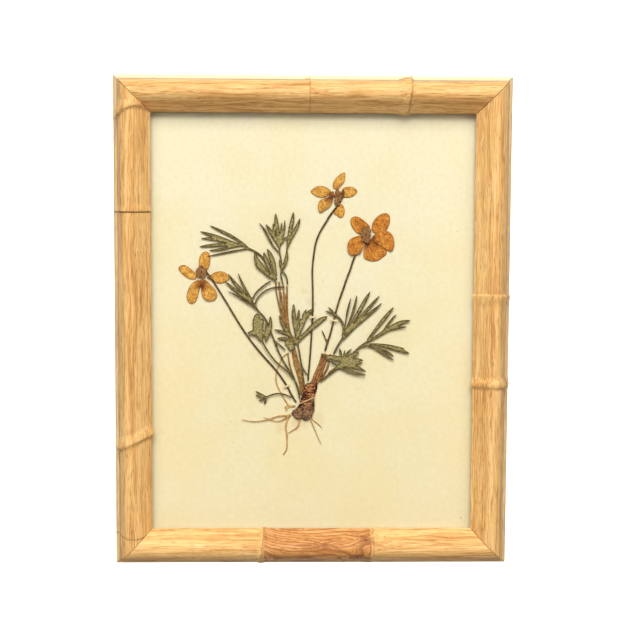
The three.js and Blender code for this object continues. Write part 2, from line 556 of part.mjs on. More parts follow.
grown('leaf_f', [
  lobe(3, 2.0, [17.1, -16], [18, -19.5], [18.2, -24]),
  lobe(3, 1.4, [20.5, -17], [20, -20.5], [19, -24]),
  lobe(3, 1.6, [25, -16.2], [22, -19.2], [19.4, -23.5]),
  lobe(3, 3.6, [29.7, -18.5], [26, -20], [20, -24.5], [16.6, -27.4]),
  lobe(3, 3.2, [32.2, -23.8], [27.5, -23.4], [21, -25.2], [16.8, -27.6]),
  lobe(3, 2.4, [31.6, -25.4], [26, -25.8], [18, -27.6]),
  lobe(3, 2.7, [34.1, -31.2], [28.6, -28.4], [22, -27.2], [17, -27.8]),
  lobe(3, 2.4, [34.1, -33.4], [27, -32], [21.5, -30], [16.6, -27.9]),
  lobe(3, 1.6, [5.4, -20.2], [9, -21.4], [13, -22.2]),
  lobe(3, 1.6, [10.9, -19.4], [12, -21.4], [14.5, -23]),
  stem(3, 3.4, [8.5, -21.8], [12.5, -21.9], [17, -22.8], [21, -23.6]),
  stem(3, 1.3, [11.6, -24.4], [14, -26.2], [17.6, -28]),
  stem(3, 1.7, [17.6, -27.4], [13.5, -29.8], [9.8, -32.6]),
], olive);
grown('leaf_g', [
  lobe(2, 1.7, [-47.2, 32.2], [-44.8, 26], [-41.6, 20.5], [-38.4, 15]),
  lobe(2, 2.4, [-53.6, 31.7], [-48.6, 25], [-43, 19], [-37.2, 12.4]),
  lobe(2, 2.4, [-55.6, 26.9], [-49.4, 21.6], [-43, 16.6], [-37, 12]),
  lobe(2, 1.4, [-53.9, 20.6], [-47, 17], [-41, 12.8], [-35.6, 8.8]),
  stem(2, 1.1, [-38, 15.2], [-36.4, 19.2], [-32.8, 22.6], [-29.4, 25.4], [-26.3, 27]),
  stem(2, 1.1, [-36.5, 11], [-35.6, 15.4], [-32.5, 19], [-28, 22], [-23, 23.2], [-17.6, 23.3]),
  stem(2, 1.2, [-37.4, 12.6], [-34.6, 8], [-31, 4.4], [-28.6, 0.5], [-26.6, -5], [-24.8, -10],
    [-20.8, -20], [-16.8, -27.4], [-13.4, -32], [-11, -37], [-8.9, -43], [-8, -49]),
  stem(2, 1.0, [-24.3, -11.2], [-20.6, -14], [-17, -17.6]),
], olive);
grown('leaf_h', [
  lobe(3, 6.6, [-35.2, 6.4], [-35.3, 1], [-34.4, -5], [-32.5, -11]),
  lobe(3, 2.8, [-31.6, 3.5], [-32.2, -1], [-32.4, -7]),
  lobe(3, 3.0, [-26.8, 4.6], [-26.6, -0.5], [-28, -6.5], [-30, -12]),
  lobe(3, 2.2, [-29.4, 1], [-29.2, -4], [-30, -10]),
  lobe(3, 4.6, [-41.1, -6.4], [-36, -5.9], [-31, -6.4], [-27, -5.2]),
  stem(3, 1.1, [-32.6, -10], [-31, -13.3], [-29, -16.8], [-26.4, -20.8], [-22.6, -25.4],
    [-18, -29.2], [-14.2, -32.6], [-12.4, -35.4]),
], olive);
grown('leaf_i', [
  lobe(2, 3.4, [-12.1, 12.4], [-12, 5.5], [-11.2, -1], [-10.4, -8]),
  lobe(2, 1.9, [-8.6, 9], [-9, 4.4], [-10.2, -4]),
  lobe(2, 1.9, [-3.8, 9], [-5.8, 5.4], [-6.8, -1.5]),
  lobe(2, 3.0, [0.9, 9.2], [-2.6, 7], [-5.4, 2], [-6.6, -3.2]),
  lobe(2, 2.6, [-7.8, 3.2], [-7.3, -2], [-9, -9]),
  lobe(2, 3.8, [9.4, 4.5], [4.5, 1.9], [-2, -4], [-11, -13]),
  lobe(2, 3.0, [-21.2, 5.2], [-18.9, -0.6], [-15.4, -6], [-11, -11]),
  lobe(2, 2.2, [-24.4, -4.2], [-19, -5.6], [-12.6, -9.4]),
  lobe(2, 2.6, [-22.4, -10], [-18, -9.8], [-12.6, -13]),
  stem(2, 4.4, [-17, -11.5], [-14.5, -13], [-12.6, -17.6]),
  stem(2, 2.2, [-7.4, -1.5], [-9, -6.5], [-11.5, -11.5], [-13, -14]),
  stem(2, 1.2, [-10, -10.5], [-9.2, -14], [-8.4, -18.4], [-7.4, -24.4], [-6.4, -31], [-5.4, -38],
    [-4.8, -43.5]),
  stem(2, 0.9, [-7.1, -26.5], [-5.2, -30.4], [-2.9, -33.6]),
], olive);
grown('leaf_j', [
  lobe(2, 1.7, [-36.1, -43.9], [-33, -45.8], [-29.4, -47.4]),
  lobe(2, 1.8, [-36.1, -46.7], [-33, -47.3], [-29.4, -47.7]),
  lobe(2, 1.6, [-34.2, -50], [-31.6, -49.4], [-29.2, -47.8]),
  lobe(2, 1.6, [-30.4, -52.2], [-29.9, -50.4], [-28.8, -47.8]),
  stem(2, 1.0, [-29.6, -47.8], [-25.6, -46], [-21.2, -45.2], [-17, -46], [-13, -48]),
], olive);

grown('leaf_stalks', [
  stem(1, 1.3, [-23.2, 26.8], [-23.2, 21], [-21.6, 13], [-19.8, 5], [-16.8, -3], [-14.4, -11],
    [-12.6, -20], [-10.3, -29], [-8, -38], [-6.8, -46]),
  stem(1, 2.4, [-21.3, 26.6], [-20.6, 17], [-19.2, 7], [-16.8, -3], [-14, -12], [-12, -21],
    [-9.6, -30], [-7.2, -41]),
  stem(1, 1.9, [-18.6, 24.5], [-18.1, 15], [-16.8, 3], [-14.6, -8], [-12, -18], [-9.6, -27],
    [-7.4, -36], [-6, -44]),
  stem(1, 1.4, [-16.3, 24], [-16.2, 15], [-15.8, 4], [-14.4, -5], [-11.6, -15], [-8.8, -26],
    [-6.8, -35], [-5.4, -43]),
  stem(1, 1.0, [-15.6, -19], [-14.6, -26], [-12.6, -32.6], [-9.6, -40], [-7.2, -46]),
  stem(1, 3.0, [-12.6, -17], [-10.6, -26], [-7.6, -36], [-6.6, -43]),
], stalkBrown);
grown('runner', [
  stem(0, 0.9, [-15.8, -19.6], [-19.2, -22], [-20.8, -26], [-22.6, -30], [-23.3, -35], [-22.8, -39.5],
    [-20.4, -44.4], [-18, -49], [-15, -53.2]),
  stem(0, 1.6, [-17.6, -54.6], [-14, -54], [-10.5, -53.6]),
  lobe(0, 1.5, [-16.6, -57], [-16.4, -55.6], [-15.4, -54]),
], rootBrown);

// Roots, thinning to their ends
grown('root_long', [
  root(0, 1.6, [-12.5, -58.5], [-15, -61], [-16.6, -65], [-16.8, -69], [-16, -72.6], [-16, -77],
    [-15.9, -80.6], [-16.8, -83.4], [-18.6, -85.6]),
], rootBrown);
grown('root_left', [
  root(1, 1.2, [-12.5, -58.6], [-16.5, -60.1], [-21, -59.7], [-26, -61.8], [-32, -63.2], [-38, -63.8],
    [-45, -62.4]),
  root(1, 1.0, [-14, -59.3], [-17.5, -61.9], [-21.5, -63.8], [-26, -62.6], [-31.2, -61]),
], rootBrown);
grown('root_middle', [
  root(1, 1.1, [-7.4, -61.4], [-8.5, -64.4], [-9.2, -67.4], [-12, -69], [-15.6, -71.4]),
], rootBrown);
grown('root_right', [root(0, 0.9, [-1, -61], [1.6, -63.8], [4, -65.4], [6.6, -68.4])], rootBrown);
grown('root_fine', [root(1, 0.8, [-1.4, -61.6], [1, -67], [3.2, -72.6], [6.2, -79])], rootBrown);

// Narrow gummed straps that hold the specimen to its sheet
const strap = (name, layer, width, ...points) => (
  piece(name, geometryOf(stroke(points, width, layer, stemShape, 2)), strapPaper));
const STRAP_W = 1.1;
piece('strap_crown', geometryOf(stroke([[-9.6, -52.4], [-4, -50], [1.9, -47.3]], STRAP_W,
  CROWN_LAYERS, stemShape, 4)), strapPaper);
strap('strap_left_stem', 2, STRAP_W, [-18.4, -41.7], [-16.2, -40.6], [-14.2, -39.5]);
strap('strap_top_stem', 3, STRAP_W, [-2.4, 3.9], [0, 4.1], [2.9, 4.4]);
strap('strap_right_stem', 3, STRAP_W, [10.8, 2.1], [13.4, 1.9], [16.4, 1.7]);

export default frame;
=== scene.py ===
"""A pressed herb under glass in a carved oak moulding, dressed around its CAD frame."""

import math
from collections import defaultdict, namedtuple

import bmesh
import bpy
import numpy as np
from bpy.props import FloatProperty, FloatVectorProperty, PointerProperty
from mathutils import Matrix, Vector, noise
from mathutils.geometry import delaunay_2d_cdt
from mathutils.kdtree import KDTree


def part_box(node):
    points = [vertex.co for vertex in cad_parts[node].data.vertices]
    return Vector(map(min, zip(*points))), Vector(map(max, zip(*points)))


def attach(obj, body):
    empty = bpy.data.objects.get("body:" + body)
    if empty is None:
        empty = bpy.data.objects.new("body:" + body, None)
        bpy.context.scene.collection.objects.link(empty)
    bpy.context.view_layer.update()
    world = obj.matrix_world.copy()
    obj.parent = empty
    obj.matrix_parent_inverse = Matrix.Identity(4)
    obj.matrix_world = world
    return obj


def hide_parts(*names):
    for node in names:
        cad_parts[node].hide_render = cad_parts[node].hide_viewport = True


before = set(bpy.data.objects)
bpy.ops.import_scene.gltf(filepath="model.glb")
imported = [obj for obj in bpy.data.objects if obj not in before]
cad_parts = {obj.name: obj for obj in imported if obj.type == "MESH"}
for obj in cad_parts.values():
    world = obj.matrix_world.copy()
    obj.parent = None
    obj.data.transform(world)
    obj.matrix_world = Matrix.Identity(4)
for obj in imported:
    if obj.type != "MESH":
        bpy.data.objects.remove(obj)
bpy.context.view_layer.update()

bl_info = {
    "name": "Pressed flower frame",
    "version": (1, 0, 0),
    "blender": (4, 5, 0),
    "location": "3D View > Sidebar > Pressed Flower",
    "description": "A pressed herb under glass in a carved bamboo-pattern oak moulding",
    "category": "Add Mesh",
}

MM = 0.001

# ---- sizes shared with the CAD frame, in millimetres --------------------------------------------

COVER = 6.35  # how far the lip overlaps the glass
PANE_LOW, PANE_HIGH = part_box("glass_pane")
SIGHT_W = (PANE_HIGH.x - PANE_LOW.x) / MM - 2 * COVER
SIGHT_H = (PANE_HIGH.z - PANE_LOW.z) / MM - 2 * COVER
CENTRE_Z = (PANE_HIGH.z + PANE_LOW.z) / 2 / MM
SHEET_FRONT = -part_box("mounting_sheet")[0].y / MM
SPECIMEN_RISE, SPECIMEN_DROP = 0.989, 0.4  # drawn height to real height on the sheet
GAP = 0.3  # between neighbouring pieces, also across a mitre
RABBET = 7.15  # how far the rabbet's wall lies outside the sight edge
LIP_BACK, LIP_FRONT = 10.0, 10.6  # the lip's faces, above the back of the moulding
MOULDING_W = 23.5


def linear(colour):
    """An sRGB hex colour as linear red, green, blue and alpha."""
    channels = [int(colour[i : i + 2], 16) / 255 for i in (1, 3, 5)]
    return [c / 12.92 if c <= 0.04045 else ((c + 0.055) / 1.055) ** 2.4 for c in channels] + [1.0]


def on_sheet(x, z):
    """A point drawn on the sheet, in millimetres from its middle, as the frame's x and z."""
    return x, z * SPECIMEN_RISE - SPECIMEN_DROP + CENTRE_Z


def on_front(x, z):
    """The same point as a place on the sheet's front face, in metres."""
    x, z = on_sheet(x, z)
    return x * MM, -SHEET_FRONT * MM, z * MM


# ---- settings -------------------------------------------------------------------------------------


def length_setting(name, description, size):
    """A length in the sidebar, given in millimetres."""
    return FloatProperty(name=name, description=description, default=size * MM, unit="LENGTH")


def colour_setting(name, description, colour):
    """A colour in the sidebar, given as sRGB hex."""
    return FloatVectorProperty(
        name=name, description=description, subtype="COLOR", size=4, min=0, max=1, default=linear(colour)
    )


class MouldingSettings(bpy.types.PropertyGroup):
    """The carved oak moulding."""

    crown_radius: length_setting("Crown radius", "Half the width of the crown", 10.05)
    crown_rise: length_setting("Crown rise", "Height of the crown above the lip", 9.9)
    slope_width: length_setting("Slope", "Width of the straight slope beside the opening", 6.5)
    apex: length_setting("Apex", "How far out the crown is highest", 12)
    undulation: length_setting("Hand of the carver", "Slow unevenness along the rails", 0.12)
    late_wood: colour_setting("Late wood", "Darker growth lines of the oak", "#BA8148")
    early_wood: colour_setting("Early wood", "Pale ground of the oak", "#F6CC88")


class SpecimenSettings(bpy.types.PropertyGroup):
    """The pressed herb."""

    spacing: FloatProperty(
        name="Mesh spacing", description="Distance between points on leaves and petals",
        default=0.4 * MM, min=0.2 * MM, unit="LENGTH",
    )
    petal: colour_setting("Petal", "Dried golden petal", "#CA8531")
    leaf: colour_setting("Leaf", "Dried olive leaf", "#7C6B3C")
    stem: colour_setting("Stem", "Dry brown stem", "#5E4020")


class SheetSettings(bpy.types.PropertyGroup):
    """The aged paper behind the specimen."""

    cockle: length_setting("Cockle", "How far the sheet waves", 0.12)
    cream: colour_setting("Cream", "Ground colour of the paper", "#ECE0C2")
    aged: colour_setting("Aged", "Where the paper has yellowed", "#ECD9AD")


class StageSettings(bpy.types.PropertyGroup):
    """Light, backdrop and camera."""

    sky: FloatProperty(name="Room light", description="Strength of the even light", default=0.08, min=0)
    key_power: FloatProperty(name="Key light", description="Its power", default=112.0, min=0, unit="POWER")
    side_power: FloatProperty(
        name="Side lights", description="Power of each", default=15.0, min=0, unit="POWER"
    )
    lens: FloatProperty(name="Lens", description="Focal length", default=80.35, min=1, unit="CAMERA")


# ---- nodes ------------------------------------------------------------------------------------------


def add(tree, kind, inputs=None, out=0, ramp=None, **settings):
    """Adds one node with its settings and links, and returns one of its outputs."""
    node = tree.nodes.new(kind)
    for key, value in settings.items():
        setattr(node, key, value)
    if ramp:
        stops = node.color_ramp.elements
        stops.remove(stops[1])
        for i, (place, colour) in enumerate(ramp):
            stop = stops[0] if i == 0 else stops.new(place)
            stop.position = place
            stop.color = colour
    for key, value in (inputs or {}).items():
        if isinstance(value, bpy.types.NodeSocket):
            tree.links.new(value, node.inputs[key])
        else:
            node.inputs[key].default_value = value
    return node.outputs[out] if node.outputs else node


def new_material(name):
    """An empty material of that name, and its node tree."""
    material = bpy.data.materials.new(name)
    material.use_nodes = True
    material.node_tree.nodes.clear()
    return material, material.node_tree


def per_mm(size):
    """The texture scale that gives a pattern with features of that size in millimetres."""
    return 1 / (size * MM)


# A Map Range node's inputs are 0, the value, 1 and 2, the range it has, and 3 and 4, the range it is given.
FACTOR, FIRST, SECOND = 0, 6, 7  # the inputs of a Mix node for colours
OF_COLOURS = {"out": 2, "data_type": "RGBA"}  # and what makes it one
SMOOTH = {"interpolation_type": "SMOOTHSTEP"}


def painted(tree, colour, layers):
    """The colour under its layers, from the first up, each as a mask, an sRGB colour and a blend."""
    for mask, over, blend in layers:
        colour = add(
            tree, "ShaderNodeMix", {FACTOR: mask, FIRST: colour, SECOND: linear(over)},
            blend_type=blend, **OF_COLOURS,
        )
    return colour


# ---- materials --------------------------------------------------------------------------------------


def oak_waxed():
    """Oak, planed, carved and waxed: straw-coloured streaks, brown pores and a faint satin sheen."""
    look = bpy.context.scene.pf_moulding
    material, tree = new_material("oak_waxed")
    grain = add(tree, "ShaderNodeAttribute", out="Vector", attribute_name="grain")
    figure, cuts_and_shade, knot, flange = (
        add(tree, "ShaderNodeAttribute", out="Fac", attribute_name=name)
        for name in ("figure", "cuts_and_shade", "knot", "flange")
    )
    slow = add(tree, "ShaderNodeVectorMath", {0: grain, 1: (1 / 38, 1 / 8, 1 / 8)}, operation="MULTIPLY")
    wander = add(tree, "ShaderNodeTexNoise", {"Vector": slow, "Scale": 1.0, "Detail": 2.0}, out="Color")
    centred = add(tree, "ShaderNodeVectorMath", {0: wander, 1: (-0.5, -0.5, -0.5)}, operation="ADD")
    reach = add(tree, "ShaderNodeMath", {0: figure, 1: 11.0, 2: 5.0}, operation="MULTIPLY_ADD")
    drift = add(tree, "ShaderNodeVectorMath", {0: centred, "Scale": reach}, operation="SCALE")
    flowing = add(tree, "ShaderNodeVectorMath", {0: grain, 1: drift}, operation="ADD")
    # Growth lines a little over 1 mm apart, broad bands, and open pores that are drawn 0.5 mm wide so
    # that they show
    patterns = []
    for along, across, detail, rough in ((44, 1.05, 4.0, 0.62), (95, 4.2, 3.0, 0.5), (9, 0.5, 2.0, 0.5)):
        drawn_out = (1 / along, 1 / across, 1 / across)
        place = add(tree, "ShaderNodeVectorMath", {0: flowing, 1: drawn_out}, operation="MULTIPLY")
        settings = {"Vector": place, "Scale": 1.0, "Detail": detail, "Roughness": rough}
        patterns.append(add(tree, "ShaderNodeTexNoise", settings))
    lines, bands, pores = patterns
    tone = add(tree, "ShaderNodeMix", {0: 0.36, 2: lines, 3: bands}, data_type="FLOAT")
    straw = add(
        tree, "ShaderNodeValToRGB", {"Fac": tone},
        ramp=[
            (0.35, look.late_wood), (0.46, linear("#DCA55F")),
            (0.53, linear("#EBBB76")), (0.64, look.early_wood),
        ],
    )
    pore_mask = add(tree, "ShaderNodeMapRange", {0: pores, 1: 0.55, 2: 0.68, 4: 0.55}, **SMOOTH)
    pinker = add(tree, "ShaderNodeMath", {0: figure, 1: 0.5}, operation="MULTIPLY")
    # Growth lines cut across, under 3 mm apart and swirling
    cut_at = add(tree, "ShaderNodeVectorMath", {0: grain, 1: (0.12, 1.0, 0.7)}, operation="MULTIPLY")
    contours = add(
        tree, "ShaderNodeTexWave",
        {"Vector": cut_at, "Scale": 0.23, "Distortion": 11.0, "Detail": 0.7, "Detail Scale": 0.3},
        out="Fac", bands_direction="DIAGONAL",
    )
    contour = add(tree, "ShaderNodeMapRange", {0: contours, 1: 0.6, 4: 0.7})
    crossing = add(tree, "ShaderNodeMath", {0: contour, 1: figure}, operation="MULTIPLY")
    rings = add(tree, "ShaderNodeMath", {0: knot, 1: 26.0}, operation="MULTIPLY")
    ring_wave = add(tree, "ShaderNodeMath", {0: rings}, operation="SINE")
    ring_dark = add(tree, "ShaderNodeMath", {0: ring_wave, 1: 0.3, 2: 0.65}, operation="MULTIPLY_ADD")
    knot_dark = add(tree, "ShaderNodeMath", {0: ring_dark, 1: knot}, operation="MULTIPLY")
    # Paler outer edge: paler wood on every rail, plus a painted highlight on the top rail where the light
    # falls
    paler = add(tree, "ShaderNodeMath", {0: flange, 1: 0.8}, operation="MULTIPLY")
    # Cut lines are partly the cuts' own dark and partly painted shade under the rings' crests and in the
    # groove above the flange
    colour = painted(tree, straw, [
        (pore_mask, "#96602C", "MIX"),
        (pinker, "#DDA57A", "MULTIPLY"),
        (crossing, "#8A5527", "MIX"),
        (knot_dark, "#7A4220", "MIX"),
        (paler, "#F0E8BE", "MIX"),
        (cuts_and_shade, "#5A3819", "MIX"),
    ])
    roughness = add(tree, "ShaderNodeMapRange", {0: lines, 1: 0.3, 2: 0.7, 3: 0.66, 4: 0.54})
    relief = add(tree, "ShaderNodeMath", {0: pore_mask, 1: -1.2, 2: lines}, operation="MULTIPLY_ADD")
    bump = add(tree, "ShaderNodeBump", {"Strength": 0.55, "Distance": 0.12 * MM, "Height": relief})
    shader = add(
        tree, "ShaderNodeBsdfPrincipled",
        {"Base Color": colour, "Roughness": roughness, "Normal": bump, "Specular IOR Level": 0.3},
    )
    add(tree, "ShaderNodeOutputMaterial", {"Surface": shader})
    return material


def window_glass():
    """Clear coated glass: all but invisible, with a plain gloss at a glancing angle."""
    material, tree = new_material("window_glass")
    clear = add(tree, "ShaderNodeBsdfTransparent", {"Color": linear("#FEFFFE")})
    gloss = add(tree, "ShaderNodeBsdfGlossy", {"Color": linear("#FFFFFF"), "Roughness": 0.02})
    mirrored = add(tree, "ShaderNodeFresnel", {"IOR": 1.35})
    # Only the outside of each face mirrors: from inside, Fresnel would turn all light back past 48 degrees
    inside = add(tree, "ShaderNodeNewGeometry", out="Backfacing")
    outside = add(tree, "ShaderNodeMath", {0: 1.0, 1: inside}, operation="SUBTRACT")
    share = add(tree, "ShaderNodeMath", {0: mirrored, 1: outside}, operation="MULTIPLY")
    pane = add(tree, "ShaderNodeMixShader", {0: share, 1: clear, 2: gloss})
    add(tree, "ShaderNodeOutputMaterial", {"Surface": pane})
    return material


# Brown haloes where sap has stained the sheet: x, z, radius and strength
SAP_STAINS = [
    (-20.5, -68, 4.2, 0.22), (-8, -64, 8, 0.26), (4, -62, 6, 0.18), (-2, 14, 4, 0.2), (-16, -30, 7, 0.2),
    (-5, 20, 3.4, 0.16), (-36, -19, 6, 0.14), (-68, 30, 13, 0.12), (37, 54, 14, 0.10), (14, 82, 12, 0.08),
    (0.8, 12, 2.2, 0.3), (-25, -84, 5, 0.08),
]
# Specks of dust and fly dirt: x, z and radius
SPECKS = [
    (-86.2, 92, 0.34), (6.4, 27.3, 0.3), (29.4, -42.3, 0.36), (-51.9, -64, 0.34), (-54.4, -66.4, 0.3),
    (-50.3, -77.4, 0.36), (-6.8, 107.3, 0.3), (91, 59, 0.4), (-84.4, 2.2, 0.28), (-76, 64, 0.24),
    (96.2, -127, 0.6), (30.6, -41.6, 0.26),
]


def aged_cream_paper():
    """Uncoated wove paper gone cream: matt, cloudy with age, with faint stains and a few specks."""
    look = bpy.context.scene.pf_sheet
    material, tree = new_material("aged_cream_paper")
    place = add(tree, "ShaderNodeTexCoord", out="Object")
    clouds = add(
        tree, "ShaderNodeTexNoise", {"Vector": place, "Scale": per_mm(55), "Detail": 5.0, "Roughness": 0.55}
    )
    # Yellower and darker towards the bottom, over random clouds
    fall = add(tree, "ShaderNodeSeparateXYZ", {0: place}, out="Z")
    low = add(
        tree, "ShaderNodeMapRange",
        {0: fall, 1: (CENTRE_Z + 120) * MM, 2: (CENTRE_Z - 70) * MM, 3: -0.15, 4: 0.20},
    )
    clouds_and_slope = add(tree, "ShaderNodeMath", {0: clouds, 1: low}, operation="ADD")
    ground = add(tree, "ShaderNodeValToRGB", {"Fac": clouds_and_slope}, ramp=[(0.35, look.cream), (0.78, look.aged)])
    pulp = add(
        tree, "ShaderNodeTexNoise", {"Vector": place, "Scale": per_mm(2.6), "Detail": 4.0, "Roughness": 0.7}
    )
    pulp_shade = add(tree, "ShaderNodeMapRange", {0: pulp, 1: 0.35, 2: 0.7, 4: 0.3})
    layers = [(pulp_shade, "#D8C48F", "MIX")]
    ragged = add(tree, "ShaderNodeTexNoise", {"Vector": place, "Scale": per_mm(3.5), "Detail": 3.0})
    for x, z, radius, strength in SAP_STAINS:
        away = add(
            tree, "ShaderNodeVectorMath", {0: place, 1: on_front(x, z)}, out="Value", operation="DISTANCE"
        )
        uneven = add(tree, "ShaderNodeMath", {0: ragged, 1: -radius * MM, 2: away}, operation="MULTIPLY_ADD")
        edge, full = 0.5 * radius * MM, -0.3 * radius * MM
        halo = add(tree, "ShaderNodeMapRange", {0: uneven, 1: edge, 2: full, 4: strength}, **SMOOTH)
        layers.append((halo, "#C99A5C", "MIX"))
    for x, z, radius in SPECKS:
        away = add(
            tree, "ShaderNodeVectorMath", {0: place, 1: on_front(x, z)}, out="Value", operation="DISTANCE"
        )
        dot = add(tree, "ShaderNodeMapRange", {0: away, 1: radius * MM, 2: 0.4 * radius * MM, 4: 0.75})
        layers.append((dot, "#7A6038", "MIX"))
    colour = painted(tree, ground, layers)
    bump = add(tree, "ShaderNodeBump", {"Strength": 0.35, "Distance": 0.05 * MM, "Height": pulp})
    shader = add(
        tree, "ShaderNodeBsdfPrincipled",
        {"Base Color": colour, "Roughness": 0.9, "Normal": bump, "Specular IOR Level": 0.25},
    )
    add(tree, "ShaderNodeOutputMaterial", {"Surface": shader})
    return material


def dried_petal():
    """Petal pressed dry: translucent gold, browned margins, fine fanning veins and a stained throat."""
    look = bpy.context.scene.pf_specimen
    material, tree = new_material("dried_petal")
    place = add(tree, "ShaderNodeTexCoord", out="Object")
    fan = add(tree, "ShaderNodeAttribute", out="Vector", attribute_name="fan")
    margin, throat, ripe = (
        add(tree, "ShaderNodeAttribute", out="Fac", attribute_name=name)
        for name in ("margin", "throat", "ripe")
    )
    radius = add(tree, "ShaderNodeSeparateXYZ", {0: fan}, out="X")
    mottle = add(
        tree, "ShaderNodeTexNoise", {"Vector": place, "Scale": per_mm(2.2), "Detail": 5.0, "Roughness": 0.72}
    )
    gold = add(
        tree, "ShaderNodeValToRGB", {"Fac": mottle},
        ramp=[(0.38, linear("#955318")), (0.5, look.petal), (0.62, linear("#E6AE55"))],
    )
    # Veins under 1 mm apart at mid petal, fanning from the flower's heart
    vein_at = add(tree, "ShaderNodeVectorMath", {0: fan, 1: (0.35, 9.0, 3.0)}, operation="MULTIPLY")
    veins = add(
        tree, "ShaderNodeTexNoise", {"Vector": vein_at, "Scale": 1.0, "Detail": 3.0, "Roughness": 0.6}
    )
    vein_mask = add(tree, "ShaderNodeMapRange", {0: veins, 1: 0.5, 2: 0.62, 4: 0.7}, **SMOOTH)
    # A paler net between the veins, in cells a little over 1 mm wide
    cells = add(
        tree, "ShaderNodeTexVoronoi", {"Vector": place, "Scale": per_mm(1.3)}, feature="DISTANCE_TO_EDGE"
    )
    net = add(tree, "ShaderNodeMapRange", {0: cells, 1: 0.16, 2: 0.02, 4: 0.5})
    deep = add(tree, "ShaderNodeMath", {0: ripe, 1: 0.6}, operation="MULTIPLY")
    rim = add(tree, "ShaderNodeMath", {0: mottle, 1: -0.9, 2: margin}, operation="MULTIPLY_ADD")
    rim_mask = add(tree, "ShaderNodeMapRange", {0: rim, 1: 0.35, 2: -0.35, 4: 0.7}, **SMOOTH)
    heart = add(tree, "ShaderNodeMapRange", {0: radius, 1: 7.0, 2: 2.0, 4: 0.5}, **SMOOTH)
    streaked = add(tree, "ShaderNodeMapRange", {0: veins, 1: 0.38, 2: 0.56, 3: 0.45})
    stain = add(tree, "ShaderNodeMath", {0: throat, 1: streaked}, operation="MULTIPLY")
    colour = painted(tree, gold, [
        (vein_mask, "#93531A", "MIX"),
        (net, "#F6C76A", "MIX"),
        (deep, "#E3AC78", "MULTIPLY"),
        (rim_mask, "#935A1E", "MIX"),
        (heart, "#9C5420", "MIX"),
        (stain, "#5E2210", "MIX"),
    ])
    relief = add(tree, "ShaderNodeMath", {0: mottle, 1: 0.6, 2: veins}, operation="MULTIPLY_ADD")
    bump = add(tree, "ShaderNodeBump", {"Strength": 0.7, "Distance": 0.15 * MM, "Height": relief})
    shader = add(
        tree, "ShaderNodeBsdfPrincipled",
        {"Base Color": colour, "Roughness": 0.8, "Normal": bump, "Specular IOR Level": 0.15},
    )
    add(tree, "ShaderNodeOutputMaterial", {"Surface": shader})
    return material


def dried_plant(
    name, dark, middle, light, streak=1.6, fold=0.45, roughness=0.78, earthy=None, share=0.18, spread=0.2,
):
    """Dry plant tissue: mottled, darker at its margins and lighter along the middle of each strand.
    On leaves and straps that is their own colour; on stems, strands and roots it is a painted highlight
    along the middle with painted shade at the sides, and on the crown painted shade in its hollows.

    streak is the size of the mottling, fold how far in from the margin the tissue is lightest, both in
    millimetres. share is how much the margins count against the mottling, and spread how soft that is.
    earthy is the grey of a lump with soil in it, and the heights at which it sets in and is full."""
    material, tree = new_material(name)
    place = add(tree, "ShaderNodeTexCoord", out="Object")
    margin = add(tree, "ShaderNodeAttribute", out="Fac", attribute_name="margin")
    settings = {"Vector": place, "Scale": per_mm(streak), "Detail": 5.0, "Roughness": 0.65}
    mottle = add(tree, "ShaderNodeTexNoise", settings)
    # Lighter away from the margin: a painted highlight along strands and stems, painted shade at their sides
    # and in the crown's hollows
    across = add(tree, "ShaderNodeMapRange", {0: margin, 2: fold}, **SMOOTH)
    tone = add(tree, "ShaderNodeMix", {0: share, 2: mottle, 3: across}, data_type="FLOAT")
    stops = [(0.54 - spread, dark), (0.54, middle), (0.54 + spread, light)]
    colour = add(tree, "ShaderNodeValToRGB", {"Fac": tone}, ramp=stops)
    if earthy:
        grey, above, below = earthy
        height = add(tree, "ShaderNodeSeparateXYZ", {0: place}, out="Z")
        depth = add(tree, "ShaderNodeMapRange", {0: height, 1: above * MM, 2: below * MM})
        patchy = add(tree, "ShaderNodeMapRange", {0: mottle, 1: 0.35, 2: 0.6, 3: 0.2, 4: 0.75})
        soiled = add(tree, "ShaderNodeMath", {0: depth, 1: patchy}, operation="MULTIPLY")
        colour = painted(tree, colour, [(soiled, grey, "MIX")])
    fibres = add(
        tree, "ShaderNodeTexNoise", {"Vector": place, "Scale": per_mm(0.5), "Detail": 2.0, "Roughness": 0.6}
    )
    bump = add(tree, "ShaderNodeBump", {"Strength": 0.6, "Distance": 0.12 * MM, "Height": fibres})
    shader = add(
        tree, "ShaderNodeBsdfPrincipled",
        {"Base Color": colour, "Roughness": roughness, "Normal": bump, "Specular IOR Level": 0.2},
    )
    add(tree, "ShaderNodeOutputMaterial", {"Surface": shader})
    return material


def metal(name, pale, dark, roughness):
    """Thin stamped metal: rolled streaks, dulled where it has been handled."""
    material, tree = new_material(name)
    place = add(tree, "ShaderNodeTexCoord", out="Object")
    rolled_at = add(
        tree, "ShaderNodeVectorMath", {0: place, 1: (per_mm(9), per_mm(9), per_mm(0.4))}, operation="MULTIPLY"
    )
    rolled = add(tree, "ShaderNodeTexNoise", {"Vector": rolled_at, "Scale": 1.0, "Detail": 3.0})
    tarnish = add(
        tree, "ShaderNodeTexNoise", {"Vector": place, "Scale": per_mm(4), "Detail": 4.0, "Roughness": 0.7}
    )
    colour = add(tree, "ShaderNodeValToRGB", {"Fac": tarnish}, ramp=[(0.35, dark), (0.65, pale)])
    gloss = add(tree, "ShaderNodeMapRange", {0: tarnish, 1: 0.3, 2: 0.7, 3: roughness + 0.15, 4: roughness})
    bump = add(tree, "ShaderNodeBump", {"Strength": 0.3, "Distance": 0.03 * MM, "Height": rolled})
    shader = add(
        tree, "ShaderNodeBsdfPrincipled",
        {"Base Color": colour, "Metallic": 1.0, "Roughness": gloss, "Normal": bump},
    )
    add(tree, "ShaderNodeOutputMaterial", {"Surface": shader})
    return material


